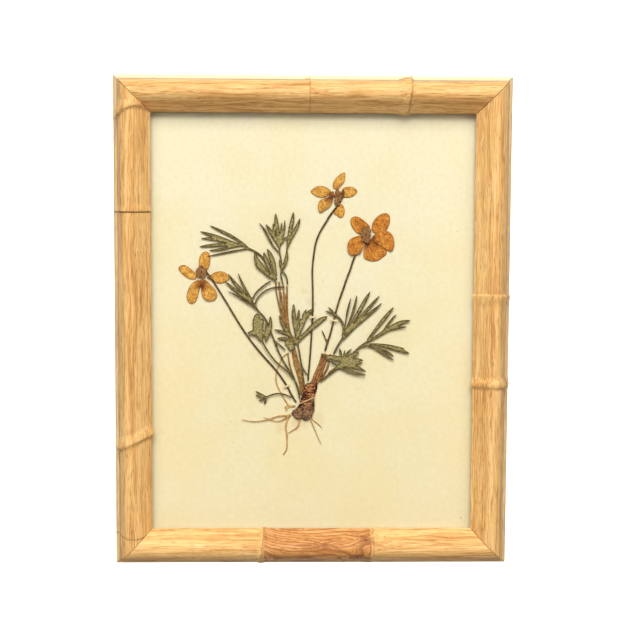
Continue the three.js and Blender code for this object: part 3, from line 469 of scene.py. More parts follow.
def pressed_hardboard():
    """Brown hardboard: matted wood fibre with a slightly glazed face."""
    material, tree = new_material("pressed_hardboard")
    place = add(tree, "ShaderNodeTexCoord", out="Object")
    fibre = add(
        tree, "ShaderNodeTexNoise", {"Vector": place, "Scale": per_mm(1.4), "Detail": 6.0, "Roughness": 0.75}
    )
    cloud = add(tree, "ShaderNodeTexNoise", {"Vector": place, "Scale": per_mm(30), "Detail": 3.0})
    tone = add(tree, "ShaderNodeMix", {0: 0.18, 2: fibre, 3: cloud}, data_type="FLOAT")
    colour = add(
        tree, "ShaderNodeValToRGB", {"Fac": tone},
        ramp=[(0.35, linear("#5F4229")), (0.5, linear("#8A6641")), (0.66, linear("#B08A5C"))],
    )
    bump = add(tree, "ShaderNodeBump", {"Strength": 0.5, "Distance": 0.1 * MM, "Height": fibre})
    shader = add(tree, "ShaderNodeBsdfPrincipled", {"Base Color": colour, "Roughness": 0.6, "Normal": bump})
    add(tree, "ShaderNodeOutputMaterial", {"Surface": shader})
    return material


def plain_stage(name, colour, glow):
    """Matt seamless paper for the studio, lit evenly from within where it glows."""
    material, tree = new_material(name)
    shader = add(
        tree, "ShaderNodeBsdfPrincipled",
        {
            "Base Color": linear(colour), "Roughness": 1.0,
            "Emission Color": linear("#FFFFFF"), "Emission Strength": glow,
        },
    )
    add(tree, "ShaderNodeOutputMaterial", {"Surface": shader})
    return material


# ---- putting pieces in place ------------------------------------------------------------------------


def place_piece(name, mesh, material, slot, *nodes):
    """Adds a finished mesh to the object in place of its CAD nodes."""
    mesh.materials.clear()
    mesh.materials.append(material)
    piece = bpy.data.objects.new(name, mesh)
    bpy.context.scene.collection.objects.link(piece)
    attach(piece, "root")
    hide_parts(*nodes)


def point_values(mesh, name, values):
    """Stores one number, or one vector, for each point of the mesh."""
    values = np.asarray(values, float)
    kind = "FLOAT" if values.ndim == 1 else "FLOAT_VECTOR"
    layer = mesh.attributes.new(name, kind, "POINT")
    layer.data.foreach_set("value" if values.ndim == 1 else "vector", values.ravel())


def eased_copy(node, ease):
    """A welded copy of a CAD node with its edges eased by that much."""
    bm = bmesh.new()
    bm.from_mesh(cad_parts[node].data)
    bmesh.ops.remove_doubles(bm, verts=bm.verts, dist=0.01 * MM)
    bmesh.ops.dissolve_limit(bm, angle_limit=math.radians(1), verts=bm.verts, edges=bm.edges)
    sharp = [e for e in bm.edges if len(e.link_faces) == 2 and e.calc_face_angle() > math.radians(30)]
    bmesh.ops.bevel(bm, geom=sharp, offset=ease * MM, segments=2, affect="EDGES", profile=0.5)
    bmesh.ops.triangulate(bm, faces=bm.faces)
    mesh = bpy.data.meshes.new(node)
    bm.to_mesh(mesh)
    bm.free()
    return mesh


# ---- the moulding -----------------------------------------------------------------------------------

# A ring is a carved bamboo node. Along its rail it rises over `before` to its crest and falls over
# `after`; its line bends by `bow` at the crown and slants by `slant` from the outer to the inner side.
# `groove` is the depth of the cut beside the crest, `offset` how far the cut lies from it, and `dark`
# how dark the cut is painted: partly the cut's own dark line, partly painted shade under the crest.
Ring = namedtuple("Ring", "at height before after bow slant groove offset dark")
RECESS = "top_rail"  # the hanger's shallow recess is cut in the back of this rail
RECESS_MARGIN, RECESS_DEPTH = 0.6, 2.6
RAILS = {
    "left_rail": dict(
        length=SIGHT_H, edge=SIGHT_W / 2, out=(-1, 0, 0), along=(0, 0, 1), seed=0,
        rings=[
            Ring(-134.6, 0.0, 1, 1, -2.2, 0, 0.2, 0, 0.6),
            Ring(-74.5, 1.5, 4, 7, 0.5, 4.5, 0.15, -1.9, 0.2),
            Ring(70, 0.5, 1.5, 5, 0, 0, 0.3, -0.6, 0.95),
            Ring(131, 1.5, 3.4, 8, 4.5, 2, 0.15, -1.5, 0.22),
        ],
    ),
    "right_rail": dict(
        length=SIGHT_H, edge=SIGHT_W / 2, out=(1, 0, 0), along=(0, 0, 1), seed=300,
        rings=[
            Ring(-38.8, 1.3, 4, 5.4, 0.6, 0, 0.15, -2.2, 0.25),
            Ring(17.4, 0.9, 8, 1.8, 0.8, 0, 0.12, 1.2, 0.15),
        ],
    ),
    "top_rail": dict(
        length=SIGHT_W, edge=SIGHT_H / 2, out=(0, 0, 1), along=(1, 0, 0), seed=600,
        rings=[
            Ring(-3, 0.4, 5, 1.5, 0, 0, 0.15, 0.5, 0.3),
            Ring(58.5, 1.4, 8, 4, 0, -1, 0.2, 1.6, 0.45),
        ],
    ),
    "bottom_rail": dict(
        length=SIGHT_W, edge=SIGHT_H / 2, out=(0, 0, -1), along=(1, 0, 0), seed=900,
        rings=[
            Ring(-31.5, 1.0, 4, 4, 0, 1, 0.2, 0, 0.4),
            Ring(38.2, 0.5, 6, 1.5, 0.5, 0, 0.12, 0.6, 0.3),
        ],
    ),
}
EDGE_SWELL = {"left_rail": 0.2}  # share of the rings' height on the outer edge, where it is less
EDGE_PALE_AND_LIT = {"top_rail": 0.9}  # how pale the outer edge is, where it is more than a little: paler wood, and on the top rail a painted highlight too
KNOTS = {"bottom_rail": [(34.2, 6.0, 5.0), (28.9, 16.5, 5.0), (8, 8.5, 3.0)]}  # along, out and radius
FIGURED = {"bottom_rail": (-31.5, 38.2)}  # the stretch whose grain swirls
SWELL_END = 0.5  # how much of a ring's height the flange keeps
GROOVE_SHADE = 0.5  # how strongly painted shade darkens the groove above the flange
SLOPE_STEPS, INNER_STEPS, OUTER_STEPS = 12, 14, 22  # of the slope, its rounding and the outer round
FLANGE_TOP, FLANGE_SIDE, FLANGE_STEPS = 8.2, 5.0, 9
STATION = 1.3  # between cross-sections on the plain lengths
RING_STATION = 0.28  # and across the rings


def moulding_profile():
    """The moulding's outline as (out, up, normal out, normal up, swell), clockwise from the lip."""
    look = bpy.context.scene.pf_moulding
    radius, rise = look.crown_radius / MM, look.crown_rise / MM
    slope_w, apex = look.slope_width / MM, look.apex / MM
    flank = 2 * radius
    slope = rise / (slope_w + (apex - slope_w) / 2)
    points = [(0, LIP_BACK, 0, 0, 0), (0, (LIP_BACK + LIP_FRONT) / 2, -1, 0, 0.5)]
    for i in range(SLOPE_STEPS):
        turn = math.pi * (1 - 0.25 * min(1, 2 * i / SLOPE_STEPS))  # the lip's edge bulges into the opening
        out = slope_w * i / SLOPE_STEPS
        points.append((out, LIP_FRONT + slope * out, math.cos(turn), math.sin(turn), 1))
    for i in range(INNER_STEPS):
        left = 1 - i / INNER_STEPS  # share of the rounding still to come
        up = LIP_FRONT + rise - slope * left * left * (apex - slope_w) / 2
        length = math.hypot(slope * left, 1)
        points.append((apex - left * (apex - slope_w), up, -slope * left / length, 1 / length, 1))
    for i in range(OUTER_STEPS + 1):
        a = math.pi / 2 * (1 - i / OUTER_STEPS)
        up = LIP_FRONT + rise * math.sin(a)
        points.append((apex + (flank - apex) * math.cos(a), up, math.cos(a), math.sin(a), 1))
    points.append((flank, (LIP_FRONT + FLANGE_TOP) / 2, 1, 0, 1))
    points.append((flank - 0.15, FLANGE_TOP + 0.5, 1, 0, 0.9))
    points.append((flank - 0.1, FLANGE_TOP, 0.7, 0.7, 0.8))
    for i in range(1, FLANGE_STEPS + 1):
        a = i / FLANGE_STEPS * math.pi / 2
        out = flank + (MOULDING_W - flank) * math.sin(a)
        up = FLANGE_SIDE + (FLANGE_TOP - FLANGE_SIDE) * math.cos(a)
        points.append((out, up, math.sin(a), math.cos(a), SWELL_END))
    points += [(MOULDING_W, 0.4, 0, 0, 0), (MOULDING_W - 0.4, 0, 0, 0, 0)]
    points += [(RABBET, 0, 0, 0, 0), (RABBET, LIP_BACK, 0, 0, 0)]
    return points


def ring_line(ring, across):
    """How far the ring's line lies from its place, at -1 on the sight edge to 1 outside."""
    return ring.bow * (1 - across * across) - ring.slant * across


def ring_swell(ring, t, across):
    """The ring's height above the plain moulding, less its cut."""
    along = t - ring.at - ring_line(ring, across)
    x = min(1, abs(along) / (ring.after if along > 0 else ring.before))
    cut = ring.groove * math.exp(-(((along - ring.offset) / 0.45) ** 2))
    return ring.height * (1 - x * x * (3 - 2 * x)) - cut


def ring_dark(ring, t, across):
    """How dark the ring's cut is painted at many points: its own dark line and painted shade under the crest.
    """
    along = t - ring.at - ring_line(ring, across) - ring.offset
    return ring.dark * np.exp(-((along / 0.42) ** 2))


def rail_stations(length, rings):
    """Places of the cross-sections along a rail, close together at the rings."""
    end = length / 2 + MOULDING_W + 7
    places = set(np.round(np.arange(-end, end + STATION / 2, STATION), 3))
    for ring in rings:
        reach = np.arange(-ring.before - 1, ring.after + 1, RING_STATION)
        places = {p for p in places if not -ring.before - 1.2 < p - ring.at < ring.after + 1.2}
        places |= set(np.round(ring.at + reach, 3))
    return sorted(places)


def with_recess(mesh, edge):
    """The rail's mesh, still in millimetres along its own axes, with the hanger's recess cut in it."""
    low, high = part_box("hanger_plate")
    middle = (low.z + high.z) / 2 / MM - CENTRE_Z - edge
    size = Vector((high.z - low.z, 0, high.x - low.x)) / MM + Vector((2, 0, 2)) * RECESS_MARGIN
    size.y = 2 * RECESS_DEPTH
    bm = bmesh.new()
    bmesh.ops.create_cube(bm, matrix=Matrix.Translation((middle, 0, 0)) @ Matrix.Diagonal((*size, 1)))
    tool_mesh = bpy.data.meshes.new("recess")
    bm.to_mesh(tool_mesh)
    bm.free()
    tool = bpy.data.objects.new("recess", tool_mesh)
    body = bpy.data.objects.new("recessed", mesh)
    for part in (tool, body):
        bpy.context.scene.collection.objects.link(part)
    cut = body.modifiers.new("Recess", "BOOLEAN")
    cut.operation, cut.object, cut.solver = "DIFFERENCE", tool, "EXACT"
    shaped = bpy.data.meshes.new_from_object(body.evaluated_get(bpy.context.evaluated_depsgraph_get()))
    bpy.data.objects.remove(tool)
    bpy.data.objects.remove(body)
    return shaped


def swept_rail(name, length, seed, rings):
    """The profile swept through its rings and mitred at both ends, in millimetres: out, up and along."""
    look = bpy.context.scene.pf_moulding
    radius = look.crown_radius / MM
    profile = moulding_profile()
    bm = bmesh.new()
    rows = []
    for t in rail_stations(length, rings):
        row = []
        for s, d, n_out, n_up, swell in profile:
            across = max(-1.0, min(1.0, s / radius - 1))
            bent = t
            for ring in rings:
                near = max(0.0, 1 - abs(t - ring.at) / (ring.before + ring.after + 8))
                bent += near * near * (3 - 2 * near) * ring_line(ring, across)
            if s > 2 * radius:
                swell *= EDGE_SWELL.get(name, 1)
            push = sum(ring_swell(ring, bent, across) for ring in rings) * swell
            wave = noise.noise(Vector((bent / 26 + seed, s / 9, d / 9))) * look.undulation / MM
            push += min(0.0, wave - 0.05) * min(1.0, swell)
            row.append(bm.verts.new((s + push * n_out, d + push * n_up, bent)))
        rows.append(row)
    for first, second in zip(rows, rows[1:]):
        for j in range(len(profile)):
            k = (j + 1) % len(profile)
            bm.faces.new((first[j], second[j], second[k], first[k]))
    for end in (-1, 1):
        normal = Vector((-1, 0, end)).normalized()
        at = Vector((0, 0, end * (length / 2 - GAP / 2 * math.sqrt(2))))
        cut = bmesh.ops.bisect_plane(
            bm, geom=bm.verts[:] + bm.edges[:] + bm.faces[:], plane_co=at, plane_no=normal, clear_outer=True
        )
        edges = [e for e in cut["geom_cut"] if isinstance(e, bmesh.types.BMEdge)]
        bmesh.ops.edgeloop_fill(bm, edges=edges)
    bmesh.ops.triangulate(bm, faces=[f for f in bm.faces if len(f.verts) > 4])
    mesh = bpy.data.meshes.new(name)
    bm.to_mesh(mesh)
    bm.free()
    return mesh


def rail_marks(name, local, seed, rings):
    """What the oak's finish reads at each point of a rail: grain, cuts with painted shade, knots, figure and
    a pale edge, painted lighter on the top rail.
    """
    s, d, t = local.T
    radius = bpy.context.scene.pf_moulding.crown_radius / MM
    across = np.clip(s / radius - 1, -1, 1)
    cuts_and_shade = np.max([ring_dark(ring, t, across) for ring in rings], axis=0) * (d > FLANGE_SIDE)
    outside = s > 2 * radius - 0.6
    # The groove above the flange, where shade is painted into the colour
    in_groove = outside & (d > FLANGE_TOP - 0.12) & (d < LIP_FRONT + 0.1)
    knot, figure, shift = np.zeros(len(s)), np.zeros(len(s)), np.zeros((len(s), 3))
    for at, away, size in KNOTS.get(name, []):
        dt, ds = t - at, (s - away) * 1.5
        r = np.hypot(dt * 0.8, ds)
        knot = np.maximum(knot, np.clip(1.3 - 1.3 * r / size, 0, 1))
        shift[:, 1] += np.sign(ds) * size * 0.9 * np.exp(-((r / size / 1.6) ** 2))
    if name in FIGURED:
        start, stop = FIGURED[name]
        figure = np.clip((t - start) / 1.5, 0, 1) * np.clip((stop - t) / 1.5, 0, 1)
        shift[:, 1] += 11 * np.exp(-(t - start) / 15) * figure
    return {
        "grain": np.column_stack([t + seed, s, d]) + shift,
        "cuts_and_shade": np.maximum(cuts_and_shade, GROOVE_SHADE * in_groove),
        "knot": knot,
        "figure": figure,
        "flange": EDGE_PALE_AND_LIT.get(name, 0.3) * (outside & (d < FLANGE_TOP - 0.01)),
    }


def rail_mesh(name, length, edge, out, along, seed, rings):
    """One rail in its place, with what its finish reads stored at its points."""
    mesh = swept_rail(name, length, seed, rings)
    if name == RECESS:
        mesh = with_recess(mesh, edge)
    local = np.array([v.co[:] for v in mesh.vertices])
    axes = np.column_stack([out, (0, -1, 0), along])
    world = local @ axes.T + np.array(out) * edge + np.array((0, 0, CENTRE_Z))
    mesh.vertices.foreach_set("co", (world * MM).ravel())
    if np.linalg.det(axes) > 0:
        mesh.flip_normals()
    for mark, values in rail_marks(name, local, seed, rings).items():
        point_values(mesh, mark, values)
    mesh.shade_smooth()
    mesh.set_sharp_from_angle(angle=math.radians(38))
    mesh.update()
    return mesh


class PF_OT_moulding(bpy.types.Operator):
    """Carves the four mitred rails"""

    bl_idname = "pressed_flower.moulding"
    bl_label = "Oak moulding"

    def execute(self, context):
        oak = oak_waxed()
        for name, rail in RAILS.items():
            place_piece(name + "_oak", rail_mesh(name, **rail), oak, "oak_moulding", name)
        return {"FINISHED"}


# ---- glass, sheet, board and fixings ------------------------------------------------------------------


class PF_OT_glass(bpy.types.Operator):
    """Cuts the glass, with its arrises taken off"""

    bl_idname = "pressed_flower.glass"
    bl_label = "Glass"

    def execute(self, context):
        mesh = eased_copy("glass_pane", ease=0.25)
        place_piece("glass", mesh, window_glass(), "window_glass", "glass_pane")
        return {"FINISHED"}


SHEET_STEP = 2.4  # between points of the sheet


def sheet_mesh(wave):
    """The sheet, flat at the back, its front cockled by that much."""
    low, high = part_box("mounting_sheet")
    columns = round((high.x - low.x) / MM / SHEET_STEP)
    rows = round((high.z - low.z) / MM / SHEET_STEP)
    bm = bmesh.new()
    sides = []
    for y in (low.y, high.y):
        side = []
        for i in range(columns + 1):
            for j in range(rows + 1):
                x = low.x + (high.x - low.x) * i / columns
                z = low.z + (high.z - low.z) * j / rows
                swell = noise.noise(Vector((x, 0.3, z)) * per_mm(60)) - 0.6
                side.append(bm.verts.new((x, y - wave * swell if y == low.y else y, z)))
        sides.append(side)
    for side, turned in zip(sides, (False, True)):
        for i in range(columns):
            for j in range(rows):
                k = i * (rows + 1) + j
                quad = [side[k], side[k + rows + 1], side[k + rows + 2], side[k + 1]]
                bm.faces.new(quad[::-1] if turned else quad)
    rim = [e for e in bm.edges if e.is_boundary]
    bmesh.ops.bridge_loops(bm, edges=rim)
    bmesh.ops.recalc_face_normals(bm, faces=bm.faces)
    mesh = bpy.data.meshes.new("sheet")
    bm.to_mesh(mesh)
    bm.free()
    mesh.shade_smooth()
    mesh.set_sharp_from_angle(angle=math.radians(40))
    return mesh


class PF_OT_sheet(bpy.types.Operator):
    """Lays the cream sheet, a little cockled with age"""

    bl_idname = "pressed_flower.sheet"
    bl_label = "Mounting sheet"

    def execute(self, context):
        mesh = sheet_mesh(context.scene.pf_sheet.cockle)
        place_piece("sheet", mesh, aged_cream_paper(), "cream_paper", "mounting_sheet")
        return {"FINISHED"}


class PF_OT_backing(bpy.types.Operator):
    """Fits the backing board"""

    bl_idname = "pressed_flower.backing"
    bl_label = "Backing board"

    def execute(self, context):
        mesh = eased_copy("backing_board", ease=0.3)
        place_piece("board", mesh, pressed_hardboard(), "backing_board", "backing_board")
        return {"FINISHED"}


class PF_OT_fixings(bpy.types.Operator):
    """Drives the retaining points and nails up the hanger"""

    bl_idname = "pressed_flower.fixings"
    bl_label = "Points and hanger"

    def execute(self, context):
        steel = metal("stamped_steel", linear("#C9C9C4"), linear("#8E8D88"), 0.38)
        brass = metal("brassed_steel", linear("#D6AC54"), linear("#9C7430"), 0.3)
        for number in range(1, 5):
            node = f"retaining_point_{number}"
            place_piece(node + "_steel", eased_copy(node, ease=0.12), steel, "steel_points", node)
        place_piece("hanger", eased_copy("hanger_plate", ease=0.15), brass, "brassed_steel", "hanger_plate")
        for side in ("left", "right"):
            node = f"hanger_nail_{side}"
            place_piece(node + "_head", eased_copy(node, ease=0.18), brass, "brassed_steel", node)
        return {"FINISHED"}


# ---- the specimen: outlines of the pressed nodes, rounded and given relief ---------------------------


def outline_loops(node):
    """The closed outlines of a pressed node's front face, as x and z in millimetres."""
    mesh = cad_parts[node].data
    mesh.calc_loop_triangles()
    corners = np.array([v.co[:] for v in mesh.vertices]) / MM
    triangles = np.array([t.vertices[:] for t in mesh.loop_triangles])
    points, same = np.unique(np.round(corners, 3), axis=0, return_inverse=True)
    triangles = same.ravel()[triangles]
    front = points[:, 1].min() + 0.01
    facing = triangles[(points[triangles][:, :, 1] < front).all(axis=1)]
    edges = {(a, b) for tri in facing for a, b in zip(tri, np.roll(tri, -1))}
    onward = defaultdict(list)
    for a, b in edges:
        if (b, a) not in edges:
            onward[a].append(b)
    loops = []
    while onward:
        start = min(onward)
        walk = [start]
        while True:
            here = walk[-1]
            following = onward[here].pop()
            if not onward[here]:
                del onward[here]
            if following == start:
                break
            walk.append(following)
        loops.append(points[walk][:, (0, 2)])
    return loops


def rounded(loop):
    """The loop with its corners cut, twice over."""
    for _ in range(2):
        onward = np.roll(loop, -1, axis=0)
        loop = np.stack([0.75 * loop + 0.25 * onward, 0.25 * loop + 0.75 * onward], axis=1).reshape(-1, 2)
    return loop


def resampled(loop, step):
    """The loop with points an even distance apart."""
    closed = np.vstack([loop, loop[:1]])
    along = np.r_[0, np.cumsum(np.hypot(*np.diff(closed, axis=0).T))]
    places = np.linspace(0, along[-1], max(8, round(along[-1] / step)), endpoint=False)
    return np.column_stack([np.interp(places, along, closed[:, k]) for k in (0, 1)])


def inside(points, loops):
    """Which points lie inside the loops, by counting crossings."""
    order = np.argsort(points[:, 1])
    heights = points[order, 1]
    found = np.zeros(len(points), bool)
    for loop in loops:
        for (ax, az), (bx, bz) in zip(loop, np.roll(loop, -1, axis=0)):
            if az == bz:
                continue
            first, last = np.searchsorted(heights, (min(az, bz), max(az, bz)))
            rows = order[first:last]
            crossing = ax + (points[rows, 1] - az) * (bx - ax) / (bz - az)
            found[rows] ^= crossing > points[rows, 0]
    return found


def distances(points, loops):
    """How far each point lies from the nearest outline."""
    rim = np.vstack([resampled(loop, 0.1) for loop in loops])
    tree = KDTree(len(rim))
    for i, (x, z) in enumerate(rim):
        tree.insert((x, z, 0), i)
    tree.balance()
    return np.array([tree.find((x, z, 0))[2] for x, z in points])


ROW_SHARE = 0.866  # the height of a triangle whose three sides are 1


def filled(loops, spacing):
    """Points and triangles that fill the loops evenly."""
    outline = np.vstack(loops)
    links = []
    first = 0
    for loop in loops:
        links += [(first + i, first + (i + 1) % len(loop)) for i in range(len(loop))]
        first += len(loop)
    low, high = outline.min(axis=0), outline.max(axis=0)
    grid = []
    for i, z in enumerate(np.arange(low[1], high[1], spacing * ROW_SHARE)):
        row = np.arange(low[0] + (i % 2) * spacing / 2, high[0], spacing)
        grid.append(np.column_stack([row, np.full(len(row), z)]))
    grid = np.vstack(grid)
    grid = grid[inside(grid, loops)]
    if len(grid):
        grid = grid[distances(grid, loops) > 0.6 * spacing]
    spots = [Vector(p) for p in np.vstack([outline, grid])]
    verts, _, faces, *_ = delaunay_2d_cdt(spots, links, [], 0, 1e-5)
    verts = np.array([v[:] for v in verts])
    faces = np.array([f for f in faces if len(f) == 3])
    faces = faces[inside(verts[faces].mean(axis=1), loops)]
    used = np.unique(faces)
    renumber = np.full(len(verts), -1)
    renumber[used] = np.arange(len(used))
    return verts[used], renumber[faces]


def inset(loop, by):
    """The loop drawn in by that much."""
    ahead = np.roll(loop, -1, axis=0) - np.roll(loop, 1, axis=0)
    return loop + by * np.column_stack([-ahead[:, 1], ahead[:, 0]]) / np.hypot(*ahead.T)[:, None]


def pressed_mesh(node, spacing, full_at, relief, drawn_in=0.0):
    """A thin closed piece with the node's outline, thinner at its margin, and its points on the sheet.

    full_at is the distance from the margin at which the piece has its full thickness,
    relief(points, margin) how far its surface lies in front of the plain layer, and drawn_in how far
    the outline has shrunk, all in millimetres."""
    loops = [inset(resampled(rounded(loop), spacing), drawn_in) for loop in outline_loops(node)]
    points, faces = filled(loops, spacing)
    margin = distances(points, loops)
    low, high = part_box(node)
    middle, half = (low.y + high.y) / 2 / MM, (high.y - low.y) / 2 / MM
    thin = 1 - np.clip(margin / full_at, 0, 1)
    body = half * (0.25 + 0.75 * np.sqrt(1 - thin * thin))
    proud = relief(points, margin)
    count = len(points)
    front = np.column_stack([points[:, 0], middle - body - proud, points[:, 1]])
    back = np.column_stack([points[:, 0], middle + body - np.clip(proud, 0, 0.15), points[:, 1]])
    turned = faces[:, ::-1] + count
    edges = {(a, b) for tri in faces.tolist() for a, b in zip(tri, tri[1:] + tri[:1])}
    rim = [(a, b) for a, b in edges if (b, a) not in edges]
    walls = [(b, a, a + count, b + count) for a, b in sorted(rim)]
    mesh = bpy.data.meshes.new(node)
    mesh.from_pydata(np.vstack([front, back]) * MM, [], [*faces.tolist(), *turned.tolist(), *walls])
    mesh.validate()
    point_values(mesh, "margin", np.r_[margin, margin])
    mesh.shade_smooth()
    mesh.set_sharp_from_angle(angle=math.radians(50))
    return mesh, np.vstack([points, points])


STRETCH_PARTS = 5


def smoothed(points):
    """A curve through the points, each stretch of it in equal parts."""
    points = np.array(points, float)
    ends = np.vstack([2 * points[0] - points[1], points, 2 * points[-1] - points[-2]])
    curve = []
    for before, start, stop, after in zip(ends, ends[1:], ends[2:], ends[3:]):
        for u in np.arange(STRETCH_PARTS) / STRETCH_PARTS:
            bend = (2 * before - 5 * start + 4 * stop - after) * u * u
            turn = (3 * start - before - 3 * stop + after) * u**3
            curve.append(0.5 * (2 * start + (stop - before) * u + bend + turn))
    return np.array([*curve, points[-1]])


STRAND_SIDES = 10


def strand_mesh(node, strands):
    """A bundle of flattened round strands, drawn as (width, points...), in the layer of a pressed node."""
    low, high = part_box(node)
    middle, half = (low.y + high.y) / 2 / MM, (high.y - low.y) / 2 / MM
    verts, faces, margin = [], [], []
    around = [2 * math.pi * k / STRAND_SIDES for k in range(STRAND_SIDES)]
    for number, (width, *points) in enumerate(strands):
        line = smoothed([on_sheet(*p) for p in points])
        ahead = np.gradient(line, axis=0)
        side = np.column_stack([-ahead[:, 1], ahead[:, 0]]) / np.hypot(*ahead.T)[:, None]
        first = len(verts)
        for (x, z), (sx, sz) in zip(line, side):
            spread = width / 2 * (1 + 0.22 * noise.noise(Vector((x / 3, z / 3, number))))
            for a in around:
                across = math.cos(a) * spread
                lift = math.sin(a) * (half + 0.12) - 0.03 * (number % 3)
                verts.append((x + sx * across, middle - lift, z + sz * across))
                # Margin is greatest along the front middle, where the finish paints a highlight, and nothing
                # at the sides, where it paints shade
                margin.append(spread * (1 - abs(math.cos(a))))
        rows = len(line)
        for i in range(rows - 1):
            for k in range(STRAND_SIDES):
                a, b = first + i * STRAND_SIDES + k, first + i * STRAND_SIDES + (k + 1) % STRAND_SIDES
                faces.append((a, b, b + STRAND_SIDES, a + STRAND_SIDES))
        faces.append(tuple(first + k for k in reversed(range(STRAND_SIDES))))
        faces.append(tuple(first + (rows - 1) * STRAND_SIDES + k for k in range(STRAND_SIDES)))
    mesh = bpy.data.meshes.new(node)
    mesh.from_pydata(np.array(verts) * MM, [], faces)
    mesh.validate()
    point_values(mesh, "margin", margin)
    mesh.shade_smooth()
    return mesh


def wrinkles(size, height, seed):
    """Relief of that height, with features of that size."""
    def relief(points, margin):
        """How far each point stands proud, fading to nothing at the margin."""
        bumps = [noise.fractal(Vector((x / size, z / size, seed)), 0.9, 2.0, 3) for x, z in points]
        return np.array(bumps) * height * np.clip(margin / 0.5, 0, 1)
    return relief


# How far the pieces have shrunk in drying
LEAF_DRAWN_IN, STEM_DRAWN_IN, ROOT_DRAWN_IN, CROWN_STRAP_DRAWN_IN = 0.05, 0.1, 0.06, 0.3
FLOWERS = {"left": (-70.0, 27.0), "top": (14.0, 82.0), "right": (35.0, 55.0)}
# Dark stains on the petals: flower, x, z and radius
THROATS = [
    ("left", -70.0, 23.6, 4.0), ("top", 11.4, 80.6, 3.4), ("top", 9.2, 79.5, 2.4), ("right", 37.0, 54.8, 2.8),
    ("right", 39.8, 51.0, 2.2), ("right", 34.0, 50.0, 2.0),
]


def fan_of(flower, points):
    """Each point's distance from the flower's heart and its angle within the petal."""
    x, z = on_sheet(*FLOWERS[flower])
    away = points - (x, z)
    mean = away.mean(axis=0)
    turn = np.arctan2(away[:, 1], away[:, 0]) - math.atan2(mean[1], mean[0])
    turn = (turn + math.pi) % (2 * math.pi) - math.pi
    return np.hypot(*away.T), turn


class PF_OT_petals(bpy.types.Operator):
    """Presses the petals of the three flowers"""

    bl_idname = "pressed_flower.petals"
    bl_label = "Petals"

    def execute(self, context):
        spacing = context.scene.pf_specimen.spacing / MM
        petal = dried_petal()
        nodes = sorted(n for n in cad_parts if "_petal_" in n)
        for number, node in enumerate(nodes):
            flower = node.split("_")[0]

            def relief(points, margin, flower=flower, number=number):
                radius, turn = fan_of(flower, points)
                pleat = np.sin(turn * 17 + number) * np.clip((radius - 1) / 6, 0, 1) * 0.05
                crease = wrinkles(3.2, 0.16, number * 7.3)(points, margin)
                return np.clip(pleat + crease, -0.1, 0.14)

            mesh, points = pressed_mesh(node, spacing, full_at=0.7, relief=relief)
            radius, turn = fan_of(flower, points)
            point_values(mesh, "fan", np.column_stack([radius, turn, np.full(len(turn), number * 3.1)]))
            throat = np.zeros(len(points))
            for name, x, z, size in THROATS:
                if name == flower:
                    away = np.hypot(*(points - on_sheet(x, z)).T)
                    throat = np.maximum(throat, np.clip(1.3 - away / size, 0, 1))
            point_values(mesh, "throat", throat)
            point_values(mesh, "ripe", np.full(len(points), float(flower == "right")))
            place_piece(node + "_pressed", mesh, petal, "dried_petal", node)
        return {"FINISHED"}


SEPALS = 11  # in each calyx, as they show


def sepals(node):
    """The strands of a crushed calyx: narrow sepals thrown out from its middle, every other one short."""
    low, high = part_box(node)
    x, z = (low.x + high.x) / 2 / MM, ((low.z + high.z) / 2 / MM - CENTRE_Z + SPECIMEN_DROP) / SPECIMEN_RISE
    wide, tall = (high.x - low.x) / 2 / MM, (high.z - low.z) / 2 / MM
    strands = []
    for k in range(SEPALS):
        turn = 2 * math.pi * k / SEPALS + 0.5 * noise.noise(Vector((k * 3.7, x, z)))
        reach = 0.95 if k % 2 else 0.8
        curl = 0.5 * noise.noise(Vector((x, k * 2.3, z)))
        line = [
            (x + wide * r * math.cos(turn + bend), z + tall * r * math.sin(turn + bend))
            for r, bend in ((0.1, 0), (0.5 * reach, 0.4 * curl), (reach, curl))
        ]
        strands.append((0.62 * min(wide, tall), *line))
    return strands


class PF_OT_calyxes(bpy.types.Operator):
    """Presses the calyxes over the petals"""

    bl_idname = "pressed_flower.calyxes"
    bl_label = "Calyxes"

    def execute(self, context):
        husk = dried_plant(
            "dried_sepal", linear("#40220C"), linear("#7E4B1E"), linear("#AA875C"), streak=0.8
        )
        for node in sorted(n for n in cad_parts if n.endswith("_calyx")):
            place_piece(node + "_sepals", strand_mesh(node, sepals(node)), husk, "dried_calyx", node)
        return {"FINISHED"}


class PF_OT_leaves(bpy.types.Operator):
    """Presses the leaves, each with a fold along its lobes"""

    bl_idname = "pressed_flower.leaves"
    bl_label = "Leaves"

    def execute(self, context):
        look = context.scene.pf_specimen
        leaf = dried_plant(
            "dried_leaf", linear("#47381A"), look.leaf, linear("#BCAC78"), streak=0.9, fold=1.25, spread=0.16
        )
        spacing = look.spacing / MM
        leaves = sorted(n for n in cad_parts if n.startswith("leaf_") and n != "leaf_stalks")
        for number, node in enumerate(leaves):

            def relief(points, margin, number=number):
                fold = np.clip(margin, 0, 1.2) * -0.1 + 0.06
                return fold + wrinkles(2.4, 0.12, number * 5.1)(points, margin)

            mesh, _ = pressed_mesh(node, spacing, full_at=0.3, relief=relief, drawn_in=LEAF_DRAWN_IN)
            place_piece(node + "_pressed", mesh, leaf, "dried_leaf", node)
        return {"FINISHED"}


